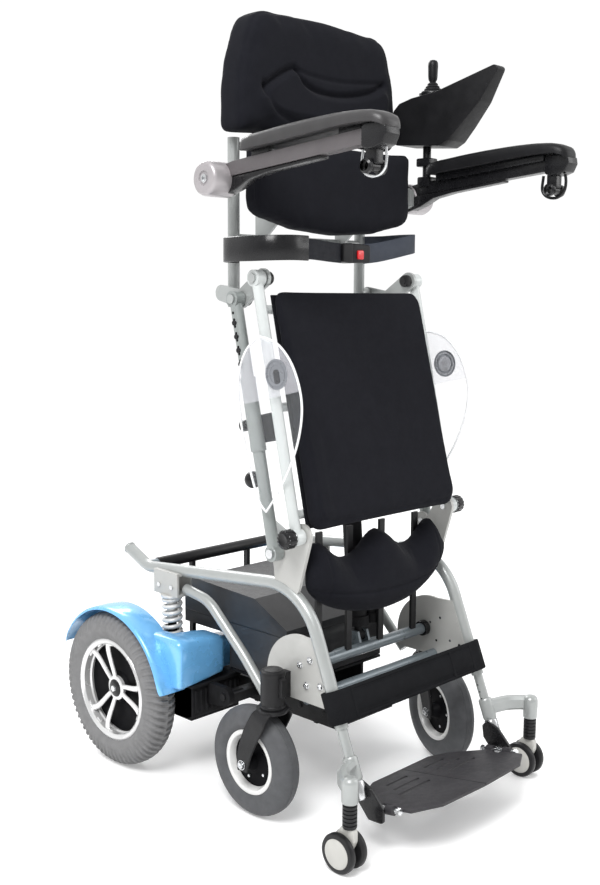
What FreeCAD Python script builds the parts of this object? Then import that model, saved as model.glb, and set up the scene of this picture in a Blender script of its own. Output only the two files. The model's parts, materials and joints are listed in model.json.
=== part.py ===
"""A power standing wheelchair (sit-to-stand lift), shown with its seat raised to standing.

Working coordinates, in mm: X across (the user's left is +X), Y fore and aft with the front at -Y and
zero at the drive axle, Z up from the floor. export() moves everything to the part's own origin, the
centre of its footprint. Paired pieces are drawn for the right side (-X) and mirrored.
"""
import FreeCAD, Part
import math
import os
from FreeCAD import Vector

# --- driving dimensions ---------------------------------------------------------------------------
AXLE_SETBACK = 305.5        # the drive axle lies this far behind the middle of the footprint

DRIVE_R, DRIVE_WIDTH, DRIVE_X = 171.0, 70.0, 288.0
RIM_R = 110.0
CASTER_R, CASTER_WIDTH, CASTER_X = 112.0, 54.0, 250.0
CASTER_STEM_Y, CASTER_TRAIL = -448.0, 48.0
LEFT_CASTER_SWIVEL = 161.0  # the left caster stands turned by this many degrees
TIP_WHEEL_R, TIP_X, TIP_STEM_Y, TIP_TRAIL = 37.5, 292.0, -691.0, 12.0

FRAME_X, FRAME_R = 218.0, 13.0
RAIL_REAR = (-20.0, 436.0)
RAIL_CORNER = (-500.0, 482.0)
DOWN_TUBE_END = (-603.0, 225.0)
HANDLE_END = (50.0, 468.0)
INNER_TUBE_R, SLIDE_CLEARANCE = 9.8, 0.3

LINK_X = 238.0              # seat tubes and rear links share this plane
SEAT_PIVOT = (-500.0, 580.0)
LINK_PIVOT = (-440.0, 540.0)
LINK_VECTOR = (110.0, 488.0)
PIN_R, PIN_CLEARANCE = 6.0, 0.05
SEAT_TUBE_R, LINK_R, EYE_R = 11.0, 12.5, 16.0
PIVOT_PLATE_X = (-225.0, -218.0)

SUSPENSION_PIVOT = (-250.0, 190.0)
SUSPENSION_PIN_R = 8.0
SPRING_X, SPRING_Y, SPRING_R = -222.0, -105.0, 22.0
SPRING_LOW, SPRING_HIGH = 300.0, 392.0

ACTUATOR_PIVOT = (-450.0, 327.0)
ACTUATOR_SEAT_S, ACTUATOR_SEAT_N = 250.0, -40.0
ACTUATOR_TUBE_R, ROD_R = 20.0, 11.0

POST_X, POST_Y, POST_R = 190.0, -272.0, 12.0
ARM_HUB = (-342.0, 1251.0)
ARM_X = 275.0
HUB_R = 32.0
STICK_PIVOT = (275.0, -404.0, 1468.0)
PLATE_HINGE_X, PLATE_HINGE = 191.0, (-682.0, 84.0)
FOOT_SLOPE = math.radians(10.0)

_length = math.hypot(*LINK_VECTOR)
ALONG = (LINK_VECTOR[0] / _length, LINK_VECTOR[1] / _length)   # from the knee pivot up the seat tube
AHEAD = (-ALONG[1], ALONG[0])                                  # square to it, towards the user
SEAT_TOP = (SEAT_PIVOT[0] + LINK_VECTOR[0], SEAT_PIVOT[1] + LINK_VECTOR[1])
LINK_TOP = (LINK_PIVOT[0] + LINK_VECTOR[0], LINK_PIVOT[1] + LINK_VECTOR[1])


# --- helpers --------------------------------------------------------------------------------------
def box(x0, x1, y0, y1, z0, z1):
    return Part.makeBox(x1 - x0, y1 - y0, z1 - z0, Vector(x0, y0, z0))


def rod(a, b, r):
    """A round bar from point a to point b."""
    a, b = Vector(*a), Vector(*b)
    return Part.makeCylinder(r, (b - a).Length, a, b - a)


def cross_pin(x0, x1, yz, r):
    """A round bar along X."""
    return rod((x0, *yz), (x1, *yz), r)


def fuse(shapes):
    return shapes[0].multiFuse(shapes[1:]).removeSplitter() if len(shapes) > 1 else shapes[0]


def side_plate(outline, x0, x1):
    """A flat plate between x0 and x1 with a straight-edged outline of (y, z) points."""
    points = [Vector(x0, y, z) for y, z in outline]
    return Part.Face(Part.makePolygon(points + points[:1])).extrude(Vector(x1 - x0, 0, 0))


def floor_plate(outline, z0, z1):
    """A flat plate between z0 and z1 with a straight-edged outline of (x, y) points."""
    points = [Vector(x, y, z0) for x, y in outline]
    return Part.Face(Part.makePolygon(points + points[:1])).extrude(Vector(0, 0, z1 - z0))


def tapered_bar(p, q, rp, rq, x0, x1):
    """A flat bar with round ends of radius rp at p and rq at q, both (y, z), and straight tangent sides."""
    dy, dz = q[0] - p[0], q[1] - p[1]
    heading, lean = math.atan2(dz, dy), math.acos((rp - rq) / math.hypot(dy, dz))
    corners = []
    for turn in (lean, -lean):
        ends = [(c[0] + r * math.cos(heading + turn), c[1] + r * math.sin(heading + turn))
                for c, r in ((p, rp), (q, rq))]
        corners.append(ends)
    outline = [corners[0][0], corners[0][1], corners[1][1], corners[1][0]]
    return fuse([side_plate(outline, x0, x1), cross_pin(x0, x1, p, rp), cross_pin(x0, x1, q, rq)])


def rounded_path(points, radii):
    """Straight runs through points, joined by arcs of the given radii at the inner points."""
    edges, start = [], points[0]
    for before, corner, after, r in zip(points, points[1:], points[2:], radii):
        u, w = (before - corner).normalize(), (after - corner).normalize()
        half = u.getAngle(w) / 2
        a, b = corner + u * (r / math.tan(half)), corner + w * (r / math.tan(half))
        middle = corner + (u + w).normalize() * (r / math.sin(half) - r)
        edges += [Part.LineSegment(start, a).toShape(), Part.Arc(a, middle, b).toShape()]
        start = b
    edges.append(Part.LineSegment(start, points[-1]).toShape())
    return Part.Wire(edges)


def bent_tube(x, yz_points, radii, r):
    points = [Vector(x, y, z) for y, z in yz_points]
    ring = Part.Wire(Part.makeCircle(r, points[0], points[1] - points[0]))
    return rounded_path(points, radii).makePipeShell([ring], True, False)


def mirrored(shape):
    return shape.mirror(Vector(0, 0, 0), Vector(1, 0, 0))


def pair(shape):
    return [shape, mirrored(shape)]


def seat_point(s, n):
    """The (y, z) of a point s up the seat tube from the knee pivot and n ahead of it."""
    return (SEAT_PIVOT[0] + s * ALONG[0] + n * AHEAD[0], SEAT_PIVOT[1] + s * ALONG[1] + n * AHEAD[1])


def seat_plate(outline, x0, x1):
    return side_plate([seat_point(s, n) for s, n in outline], x0, x1)


def down_tube_point(z):
    """The y of the down tube's centre line at height z."""
    (y0, z0), (y1, z1) = RAIL_CORNER, DOWN_TUBE_END
    return y0 + (y1 - y0) * (z - z0) / (z1 - z0)


def revolved_x(profile, x, y, z):
    """A ring about the X axis through (y, z); profile holds (along X, radius) points."""
    points = [Vector(x + a, y, z + r) for a, r in profile]
    face = Part.Face(Part.makePolygon(points + points[:1]))
    return face.revolve(Vector(x, y, z), Vector(1, 0, 0), 360)


def fillet_all_along(shape, axis, r):
    """Rounds the straight edges of a shape that run along the given axis."""
    edges = [e for e in shape.Edges
             if isinstance(e.Curve, Part.Line) and abs(e.Curve.Direction.dot(axis)) > 0.999]
    return shape.makeFillet(r, edges)


NODES = {}


def piece(name, *shapes):
    flat = [s for shape in shapes for s in (shape if isinstance(shape, list) else [shape])]
    NODES[name] = flat


def sides(name, right):
    """Two mirrored nodes, name_right and name_left."""
    piece(name + "_right", right)
    piece(name + "_left", mirrored(right))


# --- frame ----------------------------------------------------------------------------------------
def main_tube():
    tube = bent_tube(-FRAME_X, [HANDLE_END, RAIL_REAR, RAIL_CORNER, DOWN_TUBE_END], [60, 130], FRAME_R)
    top, bottom = 400.0, DOWN_TUBE_END[1] - 5
    bore = rod((-FRAME_X, down_tube_point(bottom), bottom), (-FRAME_X, down_tube_point(top), top),
               INNER_TUBE_R + SLIDE_CLEARANCE)
    return tube.cut(bore)


def diagonal_tube():
    return bent_tube(-FRAME_X, [(-148, 409), (-222, 398), (-330, 305), (-398, 236)], [90, 220], 11.0)


def gusset_plate(tubes):
    turns = [math.radians(a) for a in range(-25, 101, 5)]
    outline = [(-482 + 92 * math.cos(a), 286 + 92 * math.sin(a)) for a in turns]
    outline += [(down_tube_point(378), 378), (down_tube_point(246), 246)]
    return side_plate(outline, -209, -203).cut(tubes)


GUSSET_BOLTS = [(-483, 319), (-510, 334), (-501, 281), (-538, 288)]
SPRING_PLATE_BOLTS = [(-126, 412), (-84, 412)]


def spring_bracket(tubes):
    """A box section that hangs under the side tube and carries the top of the spring."""
    outer = box(-240, -200, -145, -65, 392, 444)
    hollow = box(-235, -205, -150, -60, 398, 438)
    return outer.cut(hollow).cut(tubes)


def pivot_plate(tubes):
    """The plate that stands on the side tube and holds the two lower pivots of the lift."""
    foot = (-462, 486)
    plate = fuse([tapered_bar(SEAT_PIVOT, foot, 24, 34, *PIVOT_PLATE_X),
                  tapered_bar(LINK_PIVOT, foot, 20, 34, *PIVOT_PLATE_X)])
    return plate.cut(tubes)


def caster_housing():
    shell = rod((-CASTER_X, CASTER_STEM_Y, 234), (-CASTER_X, CASTER_STEM_Y, 306), 24)
    cap = rod((-CASTER_X, CASTER_STEM_Y, 306), (-CASTER_X, CASTER_STEM_Y, 312), 19)
    web = box(-CASTER_X, -209, CASTER_STEM_Y - 9, CASTER_STEM_Y + 9, 248, 300)
    bore = rod((-CASTER_X, CASTER_STEM_Y, 230), (-CASTER_X, CASTER_STEM_Y, 290), 9.05)
    return fuse([shell, cap, web]).cut(bore)


def cross_tubes():
    inner = 203.0
    upper = rod((-inner, -470, 305), (inner, -470, 305), 12)
    lower = rod((-inner, -494, 250), (inner, -494, 250), 11)
    rear = rod((-FRAME_X + FRAME_R, -12, 437), (FRAME_X - FRAME_R, -12, 437), 11)
    return [upper, lower, rear]


def chassis_tray():
    """The spine under the batteries, with its battery shelf, rear posts and suspension pins."""
    spine = box(-92, 92, -470, 62, 150, 196)
    hollow = box(-88, 88, -466, 58, 154, 197)
    shelf = box(-150, 150, -385, -212, 229, 234)
    risers = [box(x - 4, x + 4, -385, -212, 196, 229) for x in (-88, 88)]
    front = [box(x - 6, x + 6, -500, -466, 180, 246) for x in (-70, 70)]
    posts = [box(x - 5, x + 5, -18, -6, 196, 427) for x in (-86, 86)]
    arms = [box(-186, -92, SUSPENSION_PIVOT[0] - 14, SUSPENSION_PIVOT[0] + 14, 176, 196)]
    arms += [mirrored(arms[0])]
    pins = pair(cross_pin(-206, -150, SUSPENSION_PIVOT, SUSPENSION_PIN_R))
    body = fuse([spine.cut(hollow), shelf] + risers + front + posts + arms + pins)
    lower = rod((-203, -494, 250), (203, -494, 250), 11)
    rear = rod((-205, -12, 437), (205, -12, 437), 11)
    return body.cut(lower).cut(rear)


COVER_PROFILE = [(-384, 236), (-387, 352), (-290, 402), (-90, 412), (-62, 400), (-62, 308), (-212, 308),
                 (-212, 236)]
COVER_HOLLOW = [(-381, 230), (-384, 350), (-289, 399), (-91, 409), (-65, 398), (-65, 311), (-215, 311),
                (-215, 230)]


def batteries():
    cell = fillet_all_along(box(-142, -42, -372, -222, 238, 352), Vector(0, 0, 1), 6)
    return pair(cell)


def battery_cover():
    return side_plate(COVER_PROFILE, -150, 150).cut(side_plate(COVER_HOLLOW, -147, 147))


def knee_pad():
    """The padded block behind the knees; its top edge dips behind each knee."""
    outline = [(-202, 470), (-202, 545), (-187, 560), (187, 560), (202, 545), (202, 470), (100, 405), (-100, 405)]
    points = [Vector(x, -540, z) for x, z in outline]
    pad = Part.Face(Part.makePolygon(points + points[:1])).extrude(Vector(0, 62, 0))
    for x in (-95, 95):
        pad = pad.cut(rod((x, -600, 598), (x, -400, 598), 76))
    return pad


def knee_pad_brackets():
    """Flat bars that rise from the upper cross tube behind the knee pad."""
    tube = rod((-203, -470, 305), (203, -470, 305), 12)
    return [box(x - 8, x + 8, -478, -472, 310, 574).cut(tube) for x in (-150, -60, 40, 150)]


def calf_strap(gusset):
    """A wide webbing band in front of the down tubes, wrapped round each of them."""
    top, bottom = 293.0, 232.0
    lean = math.atan2(RAIL_CORNER[0] - DOWN_TUBE_END[0], RAIL_CORNER[1] - DOWN_TUBE_END[1])

    def edge(offset, z):
        return (down_tube_point(z) - offset * math.cos(lean), z + offset * math.sin(lean))

    wrap = side_plate([edge(-19, top), edge(19, top), edge(19, bottom), edge(-19, bottom)], -237, -199)
    hole = rod((-FRAME_X, down_tube_point(top + 40), top + 40),
               (-FRAME_X, down_tube_point(bottom - 40), bottom - 40), FRAME_R + 0.3)
    band = side_plate([edge(14, top), edge(19, top), edge(19, bottom), edge(14, bottom)], -199, 199)
    wrap = wrap.cut(hole)
    strap = fuse([wrap, band, mirrored(wrap)])
    return largest(strap.cut(gusset).cut(mirrored(gusset)))


def bolt(x, yz, r):
    """A bolt with a low head on the outer side of a plate at x and a short shank through it."""
    return fuse([cross_pin(x - 3, x, yz, r), cross_pin(x, x + 6, yz, 2.9)])


def frame_fasteners():
    """Gusset and bracket bolts, and the four lower pivot pins with their end caps."""
    shapes = [bolt(-209, p, 5) for p in GUSSET_BOLTS]
    shapes += [bolt(-240, p, 5) for p in SPRING_PLATE_BOLTS]
    knee = fuse([cross_pin(-252, -216, SEAT_PIVOT, PIN_R), cross_pin(-272, -252, SEAT_PIVOT, 17)])
    link = fuse([cross_pin(-251, -216, LINK_PIVOT, PIN_R), cross_pin(-253.5, -251, LINK_PIVOT, 9)])
    return [s for shape in shapes + [knee, link] for s in pair(shape)]


def actuator_mount():
    """The triangular web welded to the upper cross tube and the clevis that carries the lift actuator."""
    web = floor_plate([(-150, -470), (150, -470), (60, -440), (-60, -440)], 301, 307)
    ears = [side_plate([(-474, 301), (-438, 301), (-438, 339), (-462, 339)], x0, x0 + 6) for x0 in (-17, 11)]
    pin = cross_pin(-19, 19, ACTUATOR_PIVOT, PIN_R)
    return fuse([web] + ears + [pin]).cut(rod((-203, -470, 305), (203, -470, 305), 12))


# --- drive units ----------------------------------------------------------------------------------
def gearmotor():
    """Gearbox, motor and swing arm in one casting, with the spring's lower seat."""
    gearbox = cross_pin(-246, -206, (0, DRIVE_R), 58)
    motor = cross_pin(-206, -104, (-6, DRIVE_R), 45)
    arm = tapered_bar((0, DRIVE_R), SUSPENSION_PIVOT, 40, 20, -203, -189)
    post = box(SPRING_X - 12, SPRING_X + 12, SPRING_Y - 12, SPRING_Y + 12, 196, 292)
    seat = rod((SPRING_X, SPRING_Y, 292), (SPRING_X, SPRING_Y, 298), 25)
    brace = box(SPRING_X - 12, SPRING_X + 12, SPRING_Y, -20, 180, 222)
    lower = box(-246, -110, -196, -40, 134, 214)
    body = fuse([gearbox, motor, arm, post, seat, brace, lower])
    body = body.cut(cross_pin(-260, -200, (0, DRIVE_R), 10.05))
    return body.cut(cross_pin(-210, -180, SUSPENSION_PIVOT, SUSPENSION_PIN_R + PIN_CLEARANCE))


def fender():
    """The painted guard over the wheel, and the motor shroud moulded in one with it."""
    def arc_band(r0, r1, x0, x1, start, end):
        ring = cross_pin(x0, x1, (0, DRIVE_R), r1).cut(cross_pin(x0 - 1, x1 + 1, (0, DRIVE_R), r0))
        wedge = [(0, DRIVE_R)]
        for k in range(9):
            a = math.radians(start + (end - start) * k / 8)
            wedge.append((300 * math.cos(a), DRIVE_R + 300 * math.sin(a)))
        return ring.common(side_plate(wedge, x0 - 1, x1 + 1))

    guard = arc_band(181.5, 185.5, -320, -250, 32, 170)
    web = arc_band(140, 185.5, -252, -249, 60, 170)
    outer = side_plate([(-207, 214), (-207, 302), (-196, 318), (-142, 318), (-142, 214)], -286, -156)
    outer_hollow = side_plate([(-203.5, 210), (-203.5, 301), (-194, 314.5), (-100, 314.5), (-100, 210)],
                              -282.5, -156.5)
    inner = side_plate([(-186, 222), (-186, 282), (-176, 294), (-112, 294), (-112, 222)], -158, -104)
    inner_hollow = side_plate([(-182.5, 200), (-182.5, 281), (-174.5, 290.5), (-100, 290.5), (-100, 200)],
                              -158, -107.5)
    tyre_room = cross_pin(-330, -249.5, (0, DRIVE_R), 181.5)
    shroud = fuse([outer.cut(outer_hollow), inner.cut(inner_hollow)]).cut(tyre_room)
    spring_room = box(-250, -190, -145, -60, 190, 330)
    return fuse([guard, web, shroud]).cut(spring_room.common(box(-248.5, -190, -145, -60, 190, 330)))


def drive_tyre():
    w, r = DRIVE_WIDTH / 2, DRIVE_R
    profile = [(-w + 6, RIM_R + 2), (-w, RIM_R + 18), (-w, r - 26), (-w + 7, r - 9), (-w + 18, r)]
    profile += [(-a, h) for a, h in reversed(profile)]
    return revolved_x(profile, -DRIVE_X, 0, DRIVE_R)


def drive_rim():
    """A cast rim: a barrel, a dished web with three windows, a hub and its axle stub."""
    centre = (0, DRIVE_R)
    barrel = cross_pin(-DRIVE_X - 29, -DRIVE_X + 29, centre, RIM_R + 1.9)
    barrel = barrel.cut(cross_pin(-DRIVE_X - 30, -DRIVE_X + 30, centre, RIM_R - 8))
    web = cross_pin(-DRIVE_X - 18, -DRIVE_X - 8, centre, RIM_R - 7)
    for k in range(3):
        a = math.radians(90 + 120 * k)
        near = (38 * math.cos(a), DRIVE_R + 38 * math.sin(a))
        far = (70 * math.cos(a), DRIVE_R + 70 * math.sin(a))
        web = web.cut(tapered_bar(far, near, 26, 9, -DRIVE_X - 20, -DRIVE_X))
    hub = cross_pin(-DRIVE_X - 22, -251, centre, 24)
    stub = cross_pin(-251, -208, centre, 10)
    return fuse([barrel, web, hub, stub])


def freewheel_lever():
    """The lever on the motor's end that lets the wheel turn freely, on its own short pivot stub."""
    lever = tapered_bar((-6, DRIVE_R), (-52, DRIVE_R + 8), 13, 7, -103, -98)
    return lever


# --- casters --------------------------------------------------------------------------------------
def caster_fork():
    """Crown plate, two legs, stem and axle, trailing straight back."""
    axle_yz = (CASTER_STEM_Y + CASTER_TRAIL, CASTER_R)
    crown = box(-CASTER_X - 38, -CASTER_X + 38, CASTER_STEM_Y - 22, CASTER_STEM_Y + 22, 227, 233)
    crown = crown.common(rod((-CASTER_X, CASTER_STEM_Y, 220), (-CASTER_X, CASTER_STEM_Y, 240), 41))
    stem = rod((-CASTER_X, CASTER_STEM_Y, 227), (-CASTER_X, CASTER_STEM_Y, 286), 9)
    legs = []
    for x0 in (-CASTER_X - 38, -CASTER_X + 33):
        leg = tapered_bar((CASTER_STEM_Y, 213), axle_yz, 20, 15, x0, x0 + 5)
        legs.append(leg)
    axle = cross_pin(-CASTER_X - 42, -CASTER_X + 42, axle_yz, 6)
    return fuse([crown, stem, axle] + legs)


def caster_tyre():
    w, r = CASTER_WIDTH / 2, CASTER_R
    profile = [(-w + 8, 66), (-w, 78), (-w, r - 26), (-w + 6, r - 9), (-w + 16, r)]
    profile += [(-a, h) for a, h in reversed(profile)]
    return revolved_x(profile, -CASTER_X, CASTER_STEM_Y + CASTER_TRAIL, CASTER_R)


def caster_rim():
    centre = (CASTER_STEM_Y + CASTER_TRAIL, CASTER_R)
    w = CASTER_WIDTH / 2
    barrel = cross_pin(-CASTER_X - w + 8, -CASTER_X + w - 8, centre, 65.9)
    barrel = barrel.cut(cross_pin(-CASTER_X - w, -CASTER_X - 6, centre, 56))
    barrel = barrel.cut(cross_pin(-CASTER_X + 6, -CASTER_X + w, centre, 56))
    hub = cross_pin(-CASTER_X - 30, -CASTER_X + 30, centre, 17)
    return fuse([barrel, hub]).cut(cross_pin(-CASTER_X - 40, -CASTER_X + 40, centre, 6.05))


def caster_pair(name, right):
    """The left caster stands turned about its stem."""
    piece(name + "_right", right)
    left = mirrored(right)
    left.rotate(Vector(CASTER_X, CASTER_STEM_Y, 0), Vector(0, 0, 1), LEFT_CASTER_SWIVEL)
    piece(name + "_left", left)


# --- the lift: seat, links and back ---------------------------------------------------------------
def eye_tube(low, high, r):
    """A link tube with a cross-bored eye at each end."""
    unit = Vector(0, high[0] - low[0], high[1] - low[1]).normalize()
    a = Vector(-LINK_X, *low) + unit * 6
    b = Vector(-LINK_X, *high) - unit * 6
    bar = Part.makeCylinder(r, (b - a).Length, a, unit)
    eyes = [cross_pin(-LINK_X - 11, -LINK_X + 11, p, EYE_R) for p in (low, high)]
    holes = [cross_pin(-LINK_X - 20, -LINK_X + 20, p, PIN_R + PIN_CLEARANCE) for p in (low, high)]
    return fuse([bar] + eyes).cut(holes[0]).cut(holes[1])


def seat_frame():
    """Two side tubes and three cross tubes, with the actuator's lug plates on the middle one."""
    side = eye_tube(SEAT_PIVOT, SEAT_TOP, SEAT_TUBE_R)
    side_tubes = pair(side)
    shapes = list(side_tubes)
    for s in (42, ACTUATOR_SEAT_S, 440):
        centre = seat_point(s, -5)
        shapes.append(largest(cross_pin(-LINK_X, LINK_X, centre, 9).cut(side_tubes[0]).cut(side_tubes[1])))
    middle = cross_pin(-LINK_X, LINK_X, seat_point(ACTUATOR_SEAT_S, -5), 9)
    s = ACTUATOR_SEAT_S
    for x0 in (-19, 13):
        lug = seat_plate([(s - 14, -6), (s + 14, -6), (s + 10, -54), (s - 10, -54)], x0, x0 + 6)
        shapes.append(largest(lug.cut(middle)))
    return shapes


def largest(shape):
    return max(shape.Solids, key=lambda s: s.Volume)


def seat_pan():
    return seat_plate([(12, 4.5), (466, 4.5), (466, 8), (12, 8)], -214, 214)


def seat_cushion():
    profile = [(8, 8.5), (470, 8.5), (470, 20), (452, 27), (380, 30), (30, 46), (14, 42), (6, 30)]
    return seat_plate(profile, -216, 216)


def side_guard():
    return tapered_bar((-444, 864), (-440, 644), 86, 20, -259, -256)


def rear_link():
    link = eye_tube(LINK_PIVOT, LINK_TOP, LINK_R)
    y, z = LINK_PIVOT
    unit = Vector(0, *ALONG)
    sleeve = Part.makeCylinder(15, 120, Vector(-LINK_X, y, z) + unit * 215, unit)
    return fuse([link, sleeve])


def link_point(t, behind):
    """The (y, z) of a point t up the rear link from its lower pivot and some way behind it."""
    return (LINK_PIVOT[0] + t * ALONG[0] - behind * AHEAD[0], LINK_PIVOT[1] + t * ALONG[1] - behind * AHEAD[1])


def link_knobs():
    """The ball knob and clamp knob behind each rear link, and its row of adjustment bolts."""
    low, high = link_point(60, 0), link_point(470, 0)
    tube = rod((-LINK_X, *low), (-LINK_X, *high), LINK_R)
    sleeve = rod((-LINK_X, *link_point(215, 0)), (-LINK_X, *link_point(335, 0)), 15)
    ball = Part.makeSphere(17, Vector(-LINK_X, *link_point(147, 29)))
    stem = rod((-LINK_X, *link_point(254, 0)), (-LINK_X, *link_point(254, 24)), 6)
    cap = rod((-LINK_X, *link_point(254, 22)), (-LINK_X, *link_point(254, 34)), 11)
    shapes = [ball, fuse([stem, cap])]
    shapes += [cross_pin(-253, -LINK_X - 6, link_point(372 + 27 * k, 0), 5) for k in range(4)]
    shapes = [largest(shape.cut(tube).cut(sleeve)) for shape in shapes]
    return [s for shape in shapes for s in pair(shape)]


def back_frame():
    """Back posts, cross bars, pad hangers, upper pivot plates with their pins, and the armrest hub axles."""
    post = rod((-POST_X, POST_Y, 1012), (-POST_X, POST_Y, 1345), POST_R)
    elbow = (POST_Y, 1040)
    plate = fuse([tapered_bar(SEAT_TOP, LINK_TOP, 19, 18, *PIVOT_PLATE_X),
                  tapered_bar(LINK_TOP, elbow, 18, 16, *PIVOT_PLATE_X)])
    boss = cross_pin(-220, -POST_X, elbow, 14)
    pins = [cross_pin(-251, -220, p, PIN_R) for p in (SEAT_TOP, LINK_TOP)]
    caps = [cross_pin(-253.5, -251, p, 9) for p in (SEAT_TOP, LINK_TOP)]
    outrigger = box(-262, -POST_X, POST_Y - 5, POST_Y + 5, 1227, 1275)
    arm = side_plate([(POST_Y + 5, 1227), (POST_Y + 5, 1275), (-342, 1279), (-368, 1268), (-368, 1234),
                      (-342, 1223)], -262, -252)
    axle = cross_pin(-300, -262, ARM_HUB, 10)
    hanger = side_plate([(-264, 1140), (-264, 1520), (-286, 1520), (-286, 1343), (-340, 1330), (-340, 1190),
                         (-280, 1140)], -123, -117)
    half = fuse([post, plate, boss, outrigger, arm, axle] + pins + caps)
    bars = [rod((-POST_X, POST_Y, z), (POST_X, POST_Y, z), 8) for z in (1150, 1330)]
    return fuse([half, mirrored(half), hanger, mirrored(hanger)] + bars)


def back_cushion():
    """The upper back: a padded slab with an arched top."""
    outline = [(-232, 1345), (-234, 1430), (-220, 1500), (-200, 1545), (-165, 1575), (-90, 1592), (0, 1598)]
    outline += [(-x, z) for x, z in reversed(outline[:-1])]
    points = [Vector(x, -344, z) for x, z in outline]
    return Part.Face(Part.makePolygon(points + points[:1])).extrude(Vector(0, 58, 0))


def lower_back_pad():
    outline = [(-234, 1343), (-236, 1215), (-222, 1190), (-120, 1162), (0, 1152)]
    outline += [(-x, z) for x, z in reversed(outline[:-1])]
    points = [Vector(x, -388, z) for x, z in outline]
    return Part.Face(Part.makePolygon(points + points[:1])).extrude(Vector(0, 48, 0))


BELT_ROUTE = [(-190, -286), (-240, -300), (-262, -345), (-262, -420), (-225, -462), (-150, -458), (-40, -425)]
BELT_ROUTE_LEFT = [(45, -414), (140, -408), (222, -400), (244, -360), (238, -300), (190, -286)]


def band(route, thickness, z0, z1):
    """A flat strap on edge that follows a route of (x, y) points."""
    def offset(k, side):
        before, after = route[max(k - 1, 0)], route[min(k + 1, len(route) - 1)]
        dx, dy = after[0] - before[0], after[1] - before[1]
        length = math.hypot(dx, dy)
        return (route[k][0] - side * dy / length, route[k][1] + side * dx / length)
    count = range(len(route))
    outline = [offset(k, thickness / 2) for k in count] + [offset(k, -thickness / 2) for k in reversed(count)]
    return floor_plate(outline, z0, z1)


def lap_belt():
    return [band(BELT_ROUTE, 4, 1100, 1140), band(BELT_ROUTE_LEFT, 4, 1101, 1141)]


def belt_buckle():
    shell = fillet_all_along(box(-40, 45, -432, -408, 1100, 1142), Vector(0, 1, 0), 6)
    pocket = box(2, 22, -440, -424, 1108, 1128)
    slots = fuse([band(BELT_ROUTE, 4.0, 1099, 1143), band(BELT_ROUTE_LEFT, 4.0, 1099, 1143)])
    return largest(shell.cut(pocket).cut(slots))


def buckle_button():
    return box(2.4, 21.6, -435, -427.5, 1108.4, 1127.6)


# --- armrests and joystick ------------------------------------------------------------------------
def armrest():
    """The hub, the sloping bar and its front bracket with the accessory clamp."""
    hub = cross_pin(-330, -264, ARM_HUB, HUB_R)
    bar = side_plate([(-345, 1276), (-345, 1240), (-420, 1256), (-700, 1284), (-700, 1310), (-400, 1286)],
                     -290, -266)
    nose = side_plate([(-690, 1280), (-690, 1308), (-745, 1308), (-752, 1296), (-745, 1276), (-710, 1270)],
                      -294, -262)
    clamp = fuse([rod((-278, -716, 1240), (-278, -716, 1278), 8), cross_pin(-300, -256, (-716, 1248), 9)])
    bore = cross_pin(-305, -255, ARM_HUB, 10.05)
    return fuse([hub, bar, nose, clamp]).cut(bore)


def armrest_pad():
    profile = [(-408, 1292), (-745, 1311), (-752, 1322), (-736, 1333), (-660, 1340), (-560, 1339), (-410, 1318)]
    return side_plate(profile, -306, -244).cut(armrest())


def joystick_pod():
    """The wedge-shaped controller housing on its post, with a socket for the stick's ball."""
    profile = [(-318, 1378), (-322, 1440), (-340, 1456), (-372, 1464), (-440, 1472), (-500, 1488), (-574, 1511),
               (-584, 1503), (-540, 1436), (-494, 1388), (-470, 1362), (-448, 1354), (-424, 1360), (-400, 1358)]
    shell = fillet_all_along(side_plate(profile, 240, 312), Vector(1, 0, 0), 2.5)
    post = rod((275, -392, 1270), (275, -392, 1360), 9)
    clamp = rod((262, -392, 1322), (292, -392, 1322), 12)
    x, y, z = STICK_PIVOT
    socket = Part.makeSphere(21.0, Vector(x, y, z)).fuse(rod((x, y, z), (x, y, z + 40), 21))
    body = fuse([shell, post, clamp]).cut(socket)
    return body.cut(mirrored(armrest())).cut(mirrored(armrest_pad()))


def joystick_boot():
    x, y, z = STICK_PIVOT
    ball = Part.makeSphere(20.0, Vector(x, y, z))
    neck = Part.makeCone(17, 8, 22, Vector(x, y, z + 2), Vector(0, 0, 1))
    return fuse([ball, neck])


def joystick_stick():
    x, y, z = STICK_PIVOT
    grip = Part.makeCone(6, 8, 30, Vector(x, y, z + 28), Vector(0, 0, 1))
    top = rod((x, y, z + 58), (x, y, z + 68), 8)
    return fuse([grip, top])


# --- footrest -------------------------------------------------------------------------------------
def footrest_frame():
    """The sliding inner tubes, the outrigger arms with their caster posts, and the footplate brackets."""
    x = -FRAME_X
    foot_z = 104.0
    inner = rod((x, down_tube_point(330), 330), (x, down_tube_point(foot_z), foot_z), INNER_TUBE_R)
    clamp = rod((x, down_tube_point(134), 134), (x, down_tube_point(100), 100), 14)
    y_arm = down_tube_point(156)
    arm = floor_plate([(x - 2, y_arm - 10), (x - 2, y_arm + 10), (-TIP_X + 4, TIP_STEM_Y + 12),
                       (-TIP_X - 6, TIP_STEM_Y - 8)], 142, 170)
    post = rod((-TIP_X, TIP_STEM_Y, 134), (-TIP_X, TIP_STEM_Y, 178), 16)
    bore = rod((-TIP_X, TIP_STEM_Y, 120), (-TIP_X, TIP_STEM_Y, 166), 5.05)
    bracket = side_plate([(-702, 62), (-662, 62), (-622, 106), (-640, 136), (-664, 128)], -210, -203)
    hinge_pin = hinge_rod(-PLATE_HINGE_X, 5.0, 78)
    tie = box(-210, -PLATE_HINGE_X, -688, -676, 76, 92)
    half = fuse([inner, clamp, arm, post, bracket, tie]).cut(bore)
    return [fuse([half, hinge_pin]), mirrored(fuse([half, hinge_pin]))]


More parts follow.
